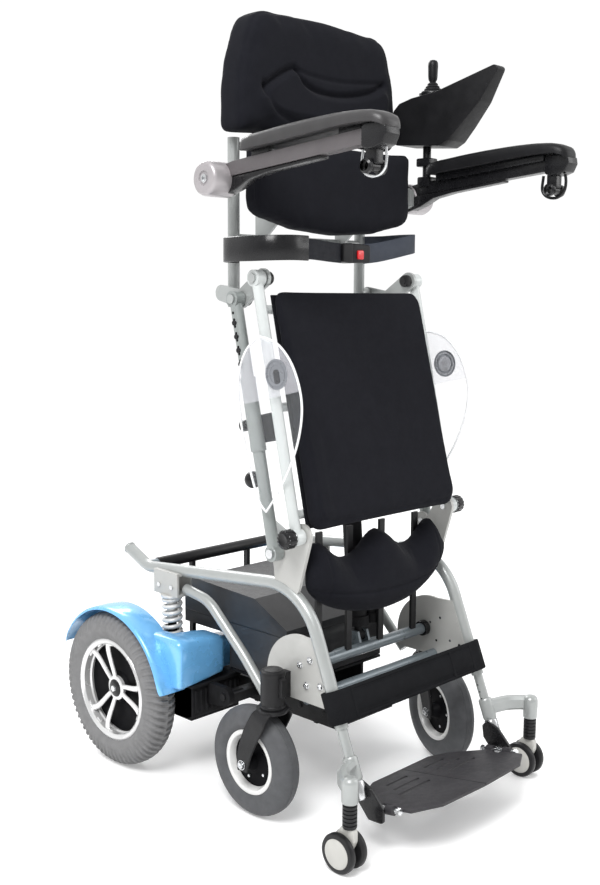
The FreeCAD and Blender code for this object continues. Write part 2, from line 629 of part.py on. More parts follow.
def hinge_rod(x, r, length):
    """A rod on the footplate's hinge axis, which slopes with the plate."""
    y, z = PLATE_HINGE
    dy, dz = math.cos(FOOT_SLOPE) * length / 2, math.sin(FOOT_SLOPE) * length / 2
    return rod((x, y + dy, z - dz), (x, y - dy, z + dz), r)


FOOTPLATE_PLAN = [(-1, -570), (-90, -570), (-128, -589), (-172, -648), (-172, -704), (-184, -712), (-183, -745),
                  (-127, -777), (-1, -783)]
GRIP_SLOTS = [(-610, 92), (-640, 106), (-668, 124)]     # y, and how far out each slot reaches


def footplate():
    """A flat plate with three grip slots and two hinge knuckles, sloping up to the front."""
    y, z = PLATE_HINGE
    plate = floor_plate(FOOTPLATE_PLAN, z - 2.5, z + 2.5)
    for slot_y, reach in GRIP_SLOTS:
        plate = plate.cut(box(-reach, -28, slot_y - 3.5, slot_y + 3.5, z - 5, z + 5))
    hinge = []
    for a, b in ((-30, -12), (12, 30)):
        hinge.append(box(-PLATE_HINGE_X, -160, y + a, y + b, z - 2.5, z + 2.5))
        hinge.append(rod((-PLATE_HINGE_X, y + a, z), (-PLATE_HINGE_X, y + b, z), 9))
    shape = fuse([plate] + hinge)
    shape = shape.cut(rod((-PLATE_HINGE_X, y - 60, z), (-PLATE_HINGE_X, y + 60, z), 5.05))
    shape.rotate(Vector(0, y, z), Vector(1, 0, 0), -math.degrees(FOOT_SLOPE))
    return shape


def anti_tip_swivel():
    """A ribbed sleeve, stem and hood that swivel together, with the wheels' axle."""
    y = TIP_STEM_Y
    stem = rod((-TIP_X, y, 80), (-TIP_X, y, 162), 5)
    sleeve = rod((-TIP_X, y, 86), (-TIP_X, y, 132), 13)
    hood = tapered_bar((y, 78), (y + TIP_TRAIL, TIP_WHEEL_R), 14, 12, -TIP_X - 7, -TIP_X + 7)
    axle = cross_pin(-TIP_X - 20, -TIP_X + 20, (y + TIP_TRAIL, TIP_WHEEL_R), 4)
    return fuse([stem, sleeve, hood, axle])


def anti_tip_wheels():
    centre = (TIP_STEM_Y + TIP_TRAIL, TIP_WHEEL_R)
    wheels = []
    for x0 in (-TIP_X - 23, -TIP_X + 8):
        wheel = cross_pin(x0, x0 + 15, centre, TIP_WHEEL_R)
        wheels.append(wheel.cut(cross_pin(-TIP_X - 40, -TIP_X + 40, centre, 4.05)))
    return wheels


# --- lift actuator --------------------------------------------------------------------------------
def actuator_axis(t):
    """A point t along the actuator from its lower pivot to the seat's lug."""
    end = seat_point(ACTUATOR_SEAT_S, ACTUATOR_SEAT_N)
    dy, dz = end[0] - ACTUATOR_PIVOT[0], end[1] - ACTUATOR_PIVOT[1]
    length = math.hypot(dy, dz)
    return (ACTUATOR_PIVOT[0] + t * dy / length, ACTUATOR_PIVOT[1] + t * dz / length), length


def lift_actuator_body():
    """The barrel with its drive motor alongside, both on one gear case."""
    def along(t, x=0.0):
        return (x, *actuator_axis(t)[0])

    eye = cross_pin(-9, 9, actuator_axis(0)[0], 12)
    neck = rod(along(0), along(24), 8)
    case = rod(along(22), along(42), 24).fuse(rod(along(22, 44), along(42, 44), 24))
    barrel = rod(along(40), along(272), ACTUATOR_TUBE_R)
    motor = rod(along(40, 44), along(78, 44), 21)
    body = fuse([eye, neck, case, barrel, motor])
    bore = rod(along(44), along(280), ROD_R + 0.1)
    return body.cut(bore).cut(cross_pin(-30, 30, actuator_axis(0)[0], PIN_R + PIN_CLEARANCE))


def lift_actuator_rod():
    end, length = actuator_axis(0)[0], actuator_axis(0)[1]
    tip = actuator_axis(length)[0]
    bar = rod((0, *actuator_axis(248)[0]), (0, *tip), ROD_R)
    eye = cross_pin(-10, 10, tip, 12)
    return fuse([bar, eye])


# --- the nodes ------------------------------------------------------------------------------------
def build():
    tube = main_tube()
    tubes = tube.fuse(diagonal_tube())
    sides("main_tube", tube)
    piece("diagonal_tubes", pair(diagonal_tube()))
    gusset = gusset_plate(tubes)
    for p in GUSSET_BOLTS:
        gusset = gusset.cut(cross_pin(-215, -200, p, 3.0))
    bracket = spring_bracket(tubes)
    for p in SPRING_PLATE_BOLTS:
        bracket = bracket.cut(cross_pin(-245, -230, p, 3.0))
    plate = pivot_plate(tubes)
    for p in (SEAT_PIVOT, LINK_PIVOT):
        plate = plate.cut(cross_pin(-230, -210, p, PIN_R + PIN_CLEARANCE))
    plates = [largest(s) for s in (gusset, bracket, plate)]
    piece("frame_plates", [s for shape in plates for s in pair(shape)])
    piece("cross_tubes", cross_tubes())
    piece("caster_housings", pair(caster_housing()))
    piece("chassis_tray", chassis_tray())
    piece("batteries", batteries())
    piece("battery_cover", battery_cover())
    piece("knee_pad", knee_pad())
    piece("knee_pad_brackets", knee_pad_brackets())
    piece("calf_strap", calf_strap(plates[0]))
    piece("frame_fasteners", frame_fasteners())
    piece("actuator_mount", actuator_mount())

    sides("gearmotor", gearmotor())
    sides("fender", fender())
    spring = rod((SPRING_X, SPRING_Y, SPRING_LOW), (SPRING_X, SPRING_Y, SPRING_HIGH), SPRING_R)
    sides("coil_spring", spring.cut(rod((SPRING_X, SPRING_Y, 290), (SPRING_X, SPRING_Y, 400), SPRING_R - 6)))
    sides("freewheel_lever", freewheel_lever())
    sides("drive_tyre", drive_tyre())
    sides("drive_rim", drive_rim())

    caster_pair("caster_fork", caster_fork())
    caster_pair("caster_tyre", caster_tyre())
    caster_pair("caster_rim", caster_rim())

    piece("seat_frame", seat_frame())
    piece("seat_pan", seat_pan())
    piece("seat_cushion", seat_cushion())
    piece("side_guards", pair(side_guard()))
    piece("rear_links", pair(rear_link()))
    piece("link_knobs", link_knobs())

    piece("back_frame", back_frame())
    piece("back_cushion", back_cushion())
    piece("lower_back_pad", lower_back_pad())
    piece("lap_belt", lap_belt())
    piece("belt_buckle", belt_buckle())
    piece("buckle_button", buckle_button())

    sides("armrest", armrest())
    sides("armrest_pad", armrest_pad())
    piece("joystick_pod", largest(joystick_pod()))
    piece("joystick_boot", joystick_boot())
    piece("joystick_stick", joystick_stick())

    piece("footrest_frame", footrest_frame())
    sides("footplate", footplate())
    sides("anti_tip_swivel", anti_tip_swivel())
    piece("anti_tip_wheels_right", anti_tip_wheels())
    piece("anti_tip_wheels_left", [mirrored(w) for w in anti_tip_wheels()])

    piece("lift_actuator_body", lift_actuator_body())
    piece("lift_actuator_rod", lift_actuator_rod())


def export():
    os.makedirs("parts", exist_ok=True)
    for name, shapes in NODES.items():
        shape = Part.makeCompound(shapes) if len(shapes) > 1 else shapes[0]
        shape.translate(Vector(0, AXLE_SETBACK, 0))
        shape.exportStep("parts/" + name + ".step")


build()
export()
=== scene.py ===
"""Looks of the standing wheelchair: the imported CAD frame, with detailed pieces that ride on its bodies."""
import json
import math
import bmesh
import bpy
import numpy as np
from mathutils import Matrix, Vector, noise


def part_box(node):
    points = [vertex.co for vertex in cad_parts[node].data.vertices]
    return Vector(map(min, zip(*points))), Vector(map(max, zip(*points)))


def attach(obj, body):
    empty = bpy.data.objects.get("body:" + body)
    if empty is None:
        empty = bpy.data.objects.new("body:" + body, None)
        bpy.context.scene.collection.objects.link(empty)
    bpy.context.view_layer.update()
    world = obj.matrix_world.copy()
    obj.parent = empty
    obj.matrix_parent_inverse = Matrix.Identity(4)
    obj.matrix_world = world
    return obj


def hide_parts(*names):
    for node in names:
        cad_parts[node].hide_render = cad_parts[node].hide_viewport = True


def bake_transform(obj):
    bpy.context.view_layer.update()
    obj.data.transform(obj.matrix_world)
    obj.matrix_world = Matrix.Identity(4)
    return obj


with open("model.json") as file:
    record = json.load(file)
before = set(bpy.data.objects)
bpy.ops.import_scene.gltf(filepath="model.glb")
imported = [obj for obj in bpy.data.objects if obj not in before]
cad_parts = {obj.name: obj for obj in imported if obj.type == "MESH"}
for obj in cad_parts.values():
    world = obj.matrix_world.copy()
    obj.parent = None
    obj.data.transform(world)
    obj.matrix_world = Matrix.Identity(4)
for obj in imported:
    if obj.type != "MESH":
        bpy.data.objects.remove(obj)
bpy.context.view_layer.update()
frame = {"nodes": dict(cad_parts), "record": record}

MM = 0.001
_low, _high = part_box("drive_tyre_right")
AXLE_Y = (_low[1] + _high[1]) / 2       # where the drive axle lies in the row frame
SIDES = (("right", -1), ("left", 1))
AXLE_HEIGHT = 171
SEAT_PIVOT = (-500.0, 580.0)            # (y, z) of the knee pivot
SEAT_RUN = math.hypot(110, 488)
ALONG = (110 / SEAT_RUN, 488 / SEAT_RUN)
AHEAD = (-ALONG[1], ALONG[0])
LINK_PIVOT = (-440, 540)
UPPER_PIVOTS = ((-390, 1068), (-330, 1028))
ARM_PIVOT = (-342, 1251)
STICK_X, STICK_Y = 275, -404
CASTER_STEM_X, CASTER_STEM_Y = 250, -448
CASTER_HUB = Vector((0, 0, 0.112))
CASTER_TRAIL = 0.048
TIP_X, TIP_Y = 292, -691
CLOTH_FRAMES = 20
PAD_PRESSURE = 4.0


def at(x, y, z):
    """A point given in mm from the drive axle's line on the floor."""
    return Vector((x * MM, y * MM + AXLE_Y, z * MM))


# --- camera and room ------------------------------------------------------------------------------
DARK_SIDE = (-0.66, -0.74, 0.05)        # the room is darker this way, as behind a photographer
CAMERA_AT = (-1715.3, -1954.4, 1035.0)
CAMERA_TURN, CAMERA_TILT, CAMERA_ROLL = -45.6, 82.5, 0.3
CAMERA_LENS = 45.33


def new_object(name, data):
    obj = bpy.data.objects.new(name, data)
    bpy.context.scene.collection.objects.link(obj)
    return obj


def turn_about(degrees, axis):
    return Matrix.Rotation(math.radians(degrees), 4, axis)


def make_camera():
    data = bpy.data.cameras.new("camera")
    data.lens = CAMERA_LENS
    data.sensor_width = 36.0
    data.clip_end = 100.0
    camera = new_object("camera", data)
    turn = turn_about(CAMERA_TURN, "Z") @ turn_about(CAMERA_TILT, "X")
    camera.matrix_world = Matrix.Translation(at(*CAMERA_AT)) @ turn @ turn_about(CAMERA_ROLL, "Z")
    bpy.context.scene.camera = camera


def area_light(name, place, aim, size, power):
    data = bpy.data.lights.new(name, "AREA")
    data.shape = "RECTANGLE"
    data.size, data.size_y = size
    data.energy = power
    light = new_object(name, data)
    light.location = place
    light.rotation_euler = (Vector(aim) - Vector(place)).to_track_quat("-Z", "Y").to_euler()


def make_room():
    world = bpy.data.worlds.new("world")
    world.use_nodes = True
    nodes, links = world.node_tree.nodes, world.node_tree.links
    background = nodes["Background"]
    background.inputs["Color"].default_value = (1.0, 1.0, 1.0, 1.0)
    place, facing, dim = (nodes.new(kind) for kind in ("ShaderNodeTexCoord", "ShaderNodeVectorMath",
                                                       "ShaderNodeMapRange"))
    facing.operation = "DOT_PRODUCT"
    facing.inputs[1].default_value = DARK_SIDE
    for k, value in enumerate((0.0, 0.75, 1.02, 0.58)):
        dim.inputs[k + 1].default_value = value
    links.new(place.outputs["Generated"], facing.inputs[0])
    links.new(facing.outputs["Value"], dim.inputs[0])
    links.new(dim.outputs[0], background.inputs["Strength"])
    bpy.context.scene.world = world
    bpy.context.scene.view_settings.view_transform = "Standard"
    area_light("key", (-2.4, -1.2, 3.6), (0, 0, 0.7), (1.6, 1.6), 150)
    area_light("fill", (2.8, -2.6, 2.2), (0, 0, 0.7), (1.4, 2.0), 26)
    area_light("rim", (1.2, 3.0, 3.2), (0, 0, 0.8), (2.0, 1.2), 70)
    bm = bmesh.new()
    bmesh.ops.create_circle(bm, cap_ends=True, segments=96, radius=14.0)
    mesh = bpy.data.meshes.new("floor")
    bm.to_mesh(mesh)
    bm.free()
    floor = new_object("floor", mesh)
    floor.location = (0, 0, -0.0006)
    paint = surface("floor_paint", (0.86, 0.86, 0.86), 0.6, vary=0.005, vary_scale=3, specular=0.2, glow=0.24)
    mesh.materials.append(paint)


# --- materials ------------------------------------------------------------------------------------
MATERIALS = {}


def surface(name, color, rough, metal=0.0, coat=0.0, sheen=0.0, vary=0.07, vary_scale=26.0, rough_vary=0.06,
            bump=0.0, bump_scale=600.0, weave=0.0, pitch=0.0022, flakes=0.0, alpha=1.0, specular=0.5,
            seam_z=None, brushed=False, glow=0.0):
    """A procedural material: uneven colour and gloss, plus grain, weave, brushing or paint flakes."""
    mat = bpy.data.materials.new(name)
    mat.use_nodes = True
    tree = mat.node_tree
    nodes, links = tree.nodes, tree.links
    bsdf = nodes["Principled BSDF"]
    plain = {"Metallic": metal, "Coat Weight": coat, "Coat Roughness": 0.08, "Sheen Weight": sheen,
             "Sheen Roughness": 0.5, "Specular IOR Level": specular, "Emission Color": (1, 1, 1, 1),
             "Emission Strength": glow, "Alpha": alpha}
    for key, value in plain.items():
        bsdf.inputs[key].default_value = value
    place = nodes.new("ShaderNodeTexCoord")

    def noise_node(scale, detail=3.0, stretch=None):
        node = nodes.new("ShaderNodeTexNoise")
        node.inputs["Scale"].default_value = scale
        node.inputs["Detail"].default_value = detail
        source = place.outputs["Object"]
        if stretch:
            mapping = nodes.new("ShaderNodeMapping")
            mapping.inputs["Scale"].default_value = stretch
            links.new(source, mapping.inputs["Vector"])
            source = mapping.outputs["Vector"]
        links.new(source, node.inputs["Vector"])
        return node.outputs["Fac"]

    def math_node(operation, a, b=None, clamp=False):
        node = nodes.new("ShaderNodeMath")
        node.operation = operation
        node.use_clamp = clamp
        for k, value in enumerate((a, b)):
            if isinstance(value, (int, float)):
                node.inputs[k].default_value = value
            elif value is not None:
                links.new(value, node.inputs[k])
        return node.outputs[0]

    def spread(value, low, high, out_low, out_high):
        node = nodes.new("ShaderNodeMapRange")
        for k, v in enumerate((low, high, out_low, out_high)):
            node.inputs[k + 1].default_value = v
        links.new(value, node.inputs[0])
        return node.outputs[0]

    def colour_mix():
        node = nodes.new("ShaderNodeMix")
        node.data_type = "RGBA"
        return node

    def position():
        axes = nodes.new("ShaderNodeSeparateXYZ")
        links.new(place.outputs["Object"], axes.inputs[0])
        return axes.outputs

    ramp = colour_mix()
    ramp.inputs[6].default_value = (*[max(c * (1 - vary), 0) for c in color], 1)
    ramp.inputs[7].default_value = (*[min(c * (1 + vary) + 0.004 * vary, 1) for c in color], 1)
    blend = spread(noise_node(vary_scale, 4.0), 0.3, 0.7, 0.0, 1.0)
    height = None
    if flakes:
        glint = spread(noise_node(2600.0, 1.0), 0.55, 0.75, 0.0, flakes)
        blend = math_node("ADD", blend, glint, clamp=True)
    if weave:
        axes = position()
        step = 2 * math.pi / pitch
        across = math_node("MULTIPLY", math_node("ADD", axes[0], axes[1]), step)
        along = math_node("MULTIPLY", axes[2], step)
        cross = math_node("MULTIPLY", math_node("SINE", across), math_node("SINE", along))
        height = spread(cross, -1.0, 1.0, 0.0, weave)
        blend = math_node("ADD", math_node("MULTIPLY", blend, 0.6), math_node("MULTIPLY", height, 0.5),
                          clamp=True)
    links.new(blend, ramp.inputs[0])
    colour = ramp.outputs[2]
    if seam_z is not None:
        gap = math_node("ABSOLUTE", math_node("SUBTRACT", position()[2], seam_z))
        line = spread(gap, 0.0008, 0.0016, 0.0, 1.0)
        dark = colour_mix()
        dark.inputs[6].default_value = (0.002, 0.002, 0.002, 1)
        links.new(line, dark.inputs[0])
        links.new(colour, dark.inputs[7])
        colour = dark.outputs[2]
        height = line
        bump = max(bump, 0.6)
    links.new(colour, bsdf.inputs["Base Color"])
    stretch = (12.0, 0.6, 12.0) if brushed else None
    gloss = noise_node(vary_scale * (9.0 if brushed else 3.0), 3.0, stretch)
    links.new(spread(gloss, 0.3, 0.7, max(rough - rough_vary, 0.02), min(rough + rough_vary, 1)),
              bsdf.inputs["Roughness"])
    if bump or weave:
        grain = noise_node(bump_scale, 2.0, stretch)
        height = grain if height is None else math_node("ADD", height, math_node("MULTIPLY", grain, 0.5))
        node = nodes.new("ShaderNodeBump")
        node.inputs["Strength"].default_value = max(bump, 0.25)
        node.inputs["Distance"].default_value = 0.0006
        links.new(height, node.inputs["Height"])
        links.new(node.outputs["Normal"], bsdf.inputs["Normal"])
    MATERIALS[name] = mat
    return mat


def make_materials():
    s = surface
    s("frame_silver", (0.35, 0.365, 0.36), 0.34, metal=0.3, coat=0.25, vary=0.04, bump=0.05, bump_scale=900)
    s("plate_grey", (0.42, 0.42, 0.405), 0.45, metal=0.2, coat=0.1, vary=0.04, bump=0.08, bump_scale=900)
    s("tube_grey", (0.17, 0.20, 0.22), 0.32, metal=0.3, coat=0.2, vary=0.04, bump=0.03)
    s("link_green", (0.26, 0.28, 0.275), 0.34, metal=0.3, coat=0.2, vary=0.05, bump=0.05)
    s("white_tube", (0.50, 0.525, 0.52), 0.36, coat=0.3, vary=0.03, bump=0.05)
    s("black_metal", (0.010, 0.010, 0.011), 0.42, vary=0.3, bump=0.15, bump_scale=1400, specular=0.25)
    s("motor_black", (0.008, 0.008, 0.009), 0.6, vary=0.35, bump=0.4, bump_scale=900, specular=0.15)
    s("bright_steel", (0.62, 0.63, 0.64), 0.22, metal=1.0, vary=0.05, bump=0.04, rough_vary=0.08)
    s("brushed", (0.40, 0.40, 0.41), 0.4, metal=0.9, vary=0.08, bump=0.1, brushed=True)
    s("battery_case", (0.012, 0.012, 0.014), 0.6, vary=0.2, bump=0.3, specular=0.2)
    s("cover_black", (0.028, 0.028, 0.030), 0.34, coat=0.12, vary=0.12, bump=0.12, bump_scale=1100,
      seam_z=0.335,
      specular=0.35)
    s("pad_black", (0.0085, 0.0088, 0.0118), 0.9, vary=0.10, vary_scale=30, weave=0.8, pitch=0.0026,
      bump=0.3, bump_scale=1500, specular=0.06, sheen=0.02)
    s("strap_black", (0.0080, 0.0083, 0.0096), 0.85, vary=0.15, weave=1.0, pitch=0.0034, bump=0.5,
      specular=0.08)
    s("webbing", (0.036, 0.042, 0.056), 0.62, vary=0.12, weave=1.0, pitch=0.0030, bump=0.5, specular=0.2)
    s("webbing_dark", (0.012, 0.013, 0.017), 0.66, vary=0.15, weave=1.0, pitch=0.0030, bump=0.5,
      specular=0.15)
    s("fender_blue", (0.16, 0.46, 0.82), 0.26, metal=0.2, coat=0.7, vary=0.06, vary_scale=7, flakes=0.5)
    s("spring_white", (0.60, 0.60, 0.59), 0.34, metal=0.2, coat=0.3, vary=0.05, bump=0.08)
    s("drive_rubber", (0.185, 0.185, 0.187), 0.75, vary=0.08, vary_scale=60, bump=0.3, bump_scale=1300,
      specular=0.2)
    s("caster_rubber", (0.080, 0.082, 0.087), 0.6, vary=0.10, vary_scale=60, bump=0.25, bump_scale=1300,
      specular=0.25)
    s("rim_silver", (0.70, 0.70, 0.70), 0.22, metal=0.5, coat=0.5, vary=0.03)
    s("rim_black", (0.004, 0.004, 0.005), 0.5, vary=0.3, bump=0.1, specular=0.05)
    s("caster_white", (0.66, 0.66, 0.65), 0.3, coat=0.3, vary=0.03, bump=0.04)
    s("gloss_black", (0.007, 0.007, 0.008), 0.26, coat=0.06, vary=0.2, bump=0.03, specular=0.28)
    s("pod_black", (0.007, 0.007, 0.008), 0.42, vary=0.2, bump=0.22, bump_scale=1800, specular=0.2)
    s("boot_rubber", (0.008, 0.008, 0.009), 0.6, vary=0.2, bump=0.2, specular=0.2)
    s("arm_mauve", (0.115, 0.106, 0.110), 0.42, metal=0.5, vary=0.07, bump=0.15, brushed=True, bump_scale=900)
    s("hub_silver", (0.36, 0.34, 0.35), 0.36, metal=0.4, coat=0.1, vary=0.05, bump=0.1)
    s("arm_pad", (0.030, 0.029, 0.030), 0.40, vary=0.15, bump=0.28, bump_scale=700, specular=0.4)
    s("button_red", (0.55, 0.012, 0.015), 0.3, coat=0.3, vary=0.06)
    s("plate_purple", (0.034, 0.0325, 0.036), 0.5, vary=0.12, bump=0.4, bump_scale=1000, specular=0.3)
    s("tip_beige", (0.45, 0.445, 0.42), 0.38, coat=0.15, vary=0.04, bump=0.06)
    s("tip_black", (0.009, 0.009, 0.010), 0.40, vary=0.2, bump=0.12, specular=0.3)
    s("guard_clear", (0.80, 0.83, 0.86), 0.2, vary=0.02, alpha=0.04, specular=0.05)
    s("guard_frost", (0.78, 0.78, 0.83), 0.4, vary=0.05, alpha=0.18, specular=0.1)
    s("guard_rim", (0.74, 0.75, 0.76), 0.25, coat=0.3, vary=0.02)
    s("emblem_grey", (0.20, 0.21, 0.23), 0.3, metal=0.4, coat=0.3, vary=0.05)
    s("emblem_dark", (0.045, 0.047, 0.052), 0.3, coat=0.2, vary=0.05)


# --- mesh helpers ---------------------------------------------------------------------------------
def flip(profile, sign):
    """A turned profile, pointing the other way along its axis where sign is -1."""
    return [(sign * a, r) for a, r in profile]


def both_ways(half):
    """The profile of a turned shape that is alike on both faces, from its crown out."""
    return flip(reversed(half), -1) + half[1:]


def mirrored(points):
    """An outline up to its middle point, followed by its mirror image."""
    return points + flip(reversed(points[:-1]), -1)


def finish_piece(name, bm, mat, body, stands_for=(), sharp=40.0):
    bmesh.ops.remove_doubles(bm, verts=bm.verts, dist=1e-6)
    bmesh.ops.recalc_face_normals(bm, faces=bm.faces)
    mesh = bpy.data.meshes.new(name)
    bm.to_mesh(mesh)
    bm.free()
    return settle(name, mesh, mat, body, stands_for, sharp)


def settle(name, mesh, mat, body, stands_for=(), sharp=40.0):
    """Shades a mesh, gives it its material and hangs it on its body."""
    mesh.materials.clear()
    mesh.materials.append(MATERIALS[mat])
    for poly in mesh.polygons:
        poly.use_smooth = True
    mesh.set_sharp_from_angle(angle=math.radians(sharp))
    obj = new_object(name, mesh)
    if stands_for:
        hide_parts(*stands_for)
    if body:
        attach(obj, body)
    return obj


def bevel_edges(bm, width, segments=3, angle=28.0):
    bmesh.ops.remove_doubles(bm, verts=bm.verts, dist=1e-6)
    bmesh.ops.recalc_face_normals(bm, faces=bm.faces)
    edges = [e for e in bm.edges if e.is_manifold and e.calc_face_angle(0) > math.radians(angle)]
    bmesh.ops.bevel(bm, geom=edges, offset=width * MM, segments=segments, profile=0.5, affect="EDGES",
                    clamp_overlap=True)


def lathe(bm, profile, centre, axis=(1, 0, 0), segments=96, shape=None):
    """Adds a turned shape; profile holds (along the axis, radius) in mm, and shape may push a point about."""
    axis = Vector(axis).normalized()
    u = Vector((0, 0, 1)) if abs(axis.z) < 0.9 else Vector((0, 1, 0))
    u = (u - axis * u.dot(axis)).normalized()
    w = axis.cross(u)
    rings = []
    for k in range(segments):
        turn = 2 * math.pi * k / segments
        ring = []
        for a, r in profile:
            if shape:
                a, r = shape(a, r, turn)
            out = u * math.cos(turn) + w * math.sin(turn)
            ring.append(bm.verts.new(centre + axis * (a * MM) + out * (r * MM)))
        rings.append(ring)
    for k in range(segments):
        a, b = rings[k], rings[(k + 1) % segments]
        for j in range(len(profile) - 1):
            bm.faces.new((a[j], b[j], b[j + 1], a[j + 1]))


def turned(name, profile, centre, mat, body, axis=(1, 0, 0), segments=96, shape=None, stands_for=(),
           sharp=40.0):
    bm = bmesh.new()
    lathe(bm, profile, centre, axis, segments, shape)
    return finish_piece(name, bm, mat, body, stands_for, sharp)


def smooth_path(points, per_span=8):
    """Points along a smooth curve through the given ones (Catmull-Rom)."""
    points = [Vector(p) for p in points]
    ends = [points[0] * 2 - points[1]] + points + [points[-1] * 2 - points[-2]]
    result = []
    for k in range(len(points) - 1):
        p0, p1, p2, p3 = ends[k:k + 4]
        for j in range(per_span):
            t = j / per_span
            result.append(0.5 * ((2 * p1) + (p2 - p0) * t + (2 * p0 - 5 * p1 + 4 * p2 - p3) * t * t
                                 + (3 * p1 - p0 - 3 * p2 + p3) * t ** 3))
    result.append(points[-1])
    return result


def loft(bm, rings, closed=False):
    """Joins rings of equally many points into one skin."""
    rows = [[bm.verts.new(p) for p in ring] for ring in rings]
    count = len(rows[0])
    spans = len(rows) if closed else len(rows) - 1
    for k in range(spans):
        a, b = rows[k], rows[(k + 1) % len(rows)]
        for j in range(count):
            bm.faces.new((a[j], a[(j + 1) % count], b[(j + 1) % count], b[j]))
    if not closed:
        bm.faces.new(rows[0])
        bm.faces.new(list(reversed(rows[-1])))


def round_bar(bm, path, radius, sides=16, closed=False):
    """A round bar of the given radius in mm (a number, or one for each point) along a path."""
    path = [Vector(p) for p in path]
    count = len(path)
    rings = []
    up = Vector((0.13, 0.21, 0.97))
    for k, p in enumerate(path):
        before = path[k - 1] if (k or closed) else p
        after = path[(k + 1) % count] if (k < count - 1 or closed) else p
        t = (after - before).normalized()
        side = (up - t * up.dot(t)).normalized()
        up = side
        other = t.cross(side)
        r = (radius[k] if isinstance(radius, (list, tuple)) else radius) * MM
        rings.append([p + (side * math.cos(a) + other * math.sin(a)) * r
                      for a in (2 * math.pi * j / sides for j in range(sides))])
    loft(bm, rings, closed=closed)


def strap(bm, path, width, thick, across, rounding=0.35):
    """A flat band along a path; across is the direction of its width."""
    path = [Vector(p) for p in path]
    across = Vector(across)
    rings = []
    for k, p in enumerate(path):
        before, after = path[max(k - 1, 0)], path[min(k + 1, len(path) - 1)]
        t = (after - before).normalized()
        w = (across - t * across.dot(t)).normalized()
        n = t.cross(w)
        half = (width[k] if isinstance(width, (list, tuple)) else width) * MM / 2
        h = thick * MM / 2
        e = min(h * 2 * rounding, half * 0.4)
        ring = [(-half + e, -h), (half - e, -h), (half, -h + e), (half, h - e), (half - e, h), (-half + e, h),
                (-half, h - e), (-half, -h + e)]
        rings.append([p + w * a + n * b for a, b in ring])
    loft(bm, rings)


def slab(bm, outline, low, high, place):
    """A plate: an outline of (a, b) swept from low to high; place(a, b, c) gives a point of the row frame."""
    loft(bm, [[place(a, b, c) for a, b in outline] for c in (low, high)])


def plate(name, outline, low, high, place, mat, body, bevel=1.2, stands_for=()):
    bm = bmesh.new()
    slab(bm, outline, low, high, place)
    bevel_edges(bm, bevel, 3)
    return finish_piece(name, bm, mat, body, stands_for)


def side_on(x_sign=1):
    return lambda y, z, x: at(x_sign * x, y, z)


def rounded(outline, radius, steps=5):
    """An outline with its corners rounded."""
    points = [Vector(p).to_2d() for p in outline]
    result = []
    for k, corner in enumerate(points):
        before, after = points[k - 1], points[(k + 1) % len(points)]
        u, w = before - corner, after - corner
        half = u.angle(w) / 2
        cut = min(radius / math.tan(half), 0.48 * u.length, 0.48 * w.length)
        a, b = corner + u.normalized() * cut, corner + w.normalized() * cut
        for j in range(steps + 1):
            t = j / steps
            result.append(tuple(a * (1 - t) ** 2 + corner * 2 * t * (1 - t) + b * t ** 2))
    return result


def evaluated(obj):
    graph = bpy.context.evaluated_depsgraph_get()
    graph.update()
    return bpy.data.meshes.new_from_object(obj.evaluated_get(graph))


def coordinates(mesh):
    data = np.empty(len(mesh.vertices) * 3, dtype=np.float64)
    mesh.vertices.foreach_get("co", data)
    return data.reshape(-1, 3)


def set_coordinates(mesh, data):
    mesh.vertices.foreach_set("co", np.ascontiguousarray(data).ravel())
    mesh.update()


def stuffed(bm, cap, voxel=0.0065, smooth=6):
    """Turns a closed shape into a stuffed pad: remeshed, blown up as cloth, capped and subdivided."""
    bmesh.ops.recalc_face_normals(bm, faces=bm.faces)
    mesh = bpy.data.meshes.new("stuffing")
    bm.to_mesh(mesh)
    bm.free()
    work = new_object("stuffing", mesh)
    remesh = work.modifiers.new("remesh", "REMESH")
    remesh.mode = "VOXEL"
    remesh.voxel_size = voxel
    even = work.modifiers.new("even", "SMOOTH")
    even.factor = 0.5
    even.iterations = smooth
    work_mesh = evaluated(work)
    work.modifiers.clear()
    work.data = work_mesh
    start = coordinates(work_mesh)
    cloth = work.modifiers.new("cloth", "CLOTH")
    fabric = cloth.settings
    fabric.quality = 4
    fabric.mass = 0.3
    fabric.tension_stiffness = fabric.compression_stiffness = 12
    fabric.use_pressure = True
    fabric.uniform_pressure_force = PAD_PRESSURE
    fabric.effector_weights.gravity = 0.0
    cloth.point_cache.frame_start, cloth.point_cache.frame_end = 1, CLOTH_FRAMES
    scene = bpy.context.scene
    for step in range(1, CLOTH_FRAMES + 1):
        scene.frame_set(step)
    blown = coordinates(evaluated(work))
    scene.frame_set(1)
    work.modifiers.clear()
    move = blown - start
    length = np.maximum(np.linalg.norm(move, axis=1, keepdims=True), 1e-9)
    start = start + move * np.minimum(1.0, cap * MM / length)
    set_coordinates(work_mesh, start)
    work.modifiers.new("finer", "SUBSURF").levels = 1
    result = evaluated(work)
    bpy.data.objects.remove(work)
    return result


def line_distance(points, line):
    """Distance from 2-D points to a polyline."""
    best = np.full(len(points), 1e9)
    for a, b in zip(line, line[1:]):
        a, b = np.array(a, float), np.array(b, float)
        d = b - a
        t = np.clip(((points - a) @ d) / (d @ d), 0, 1)
        best = np.minimum(best, np.linalg.norm(points - (a + t[:, None] * d), axis=1))
    return best


def groove(points, line, width):
    """How deep in a groove along a line each 2-D point lies, from 0 to 1."""
    return np.exp(-(line_distance(points, line) / width) ** 2)


def in_mm(data):
    """Points of a mesh as x, y and z from the drive axle's line on the floor."""
    return data[:, 0] / MM, (data[:, 1] - AXLE_Y) / MM, data[:, 2] / MM


def curve2(points, per_span=8):
    """A smooth curve through (a, b) points."""
    return [(p.x, p.y) for p in smooth_path([(a, b, 0.0) for a, b in points], per_span)]


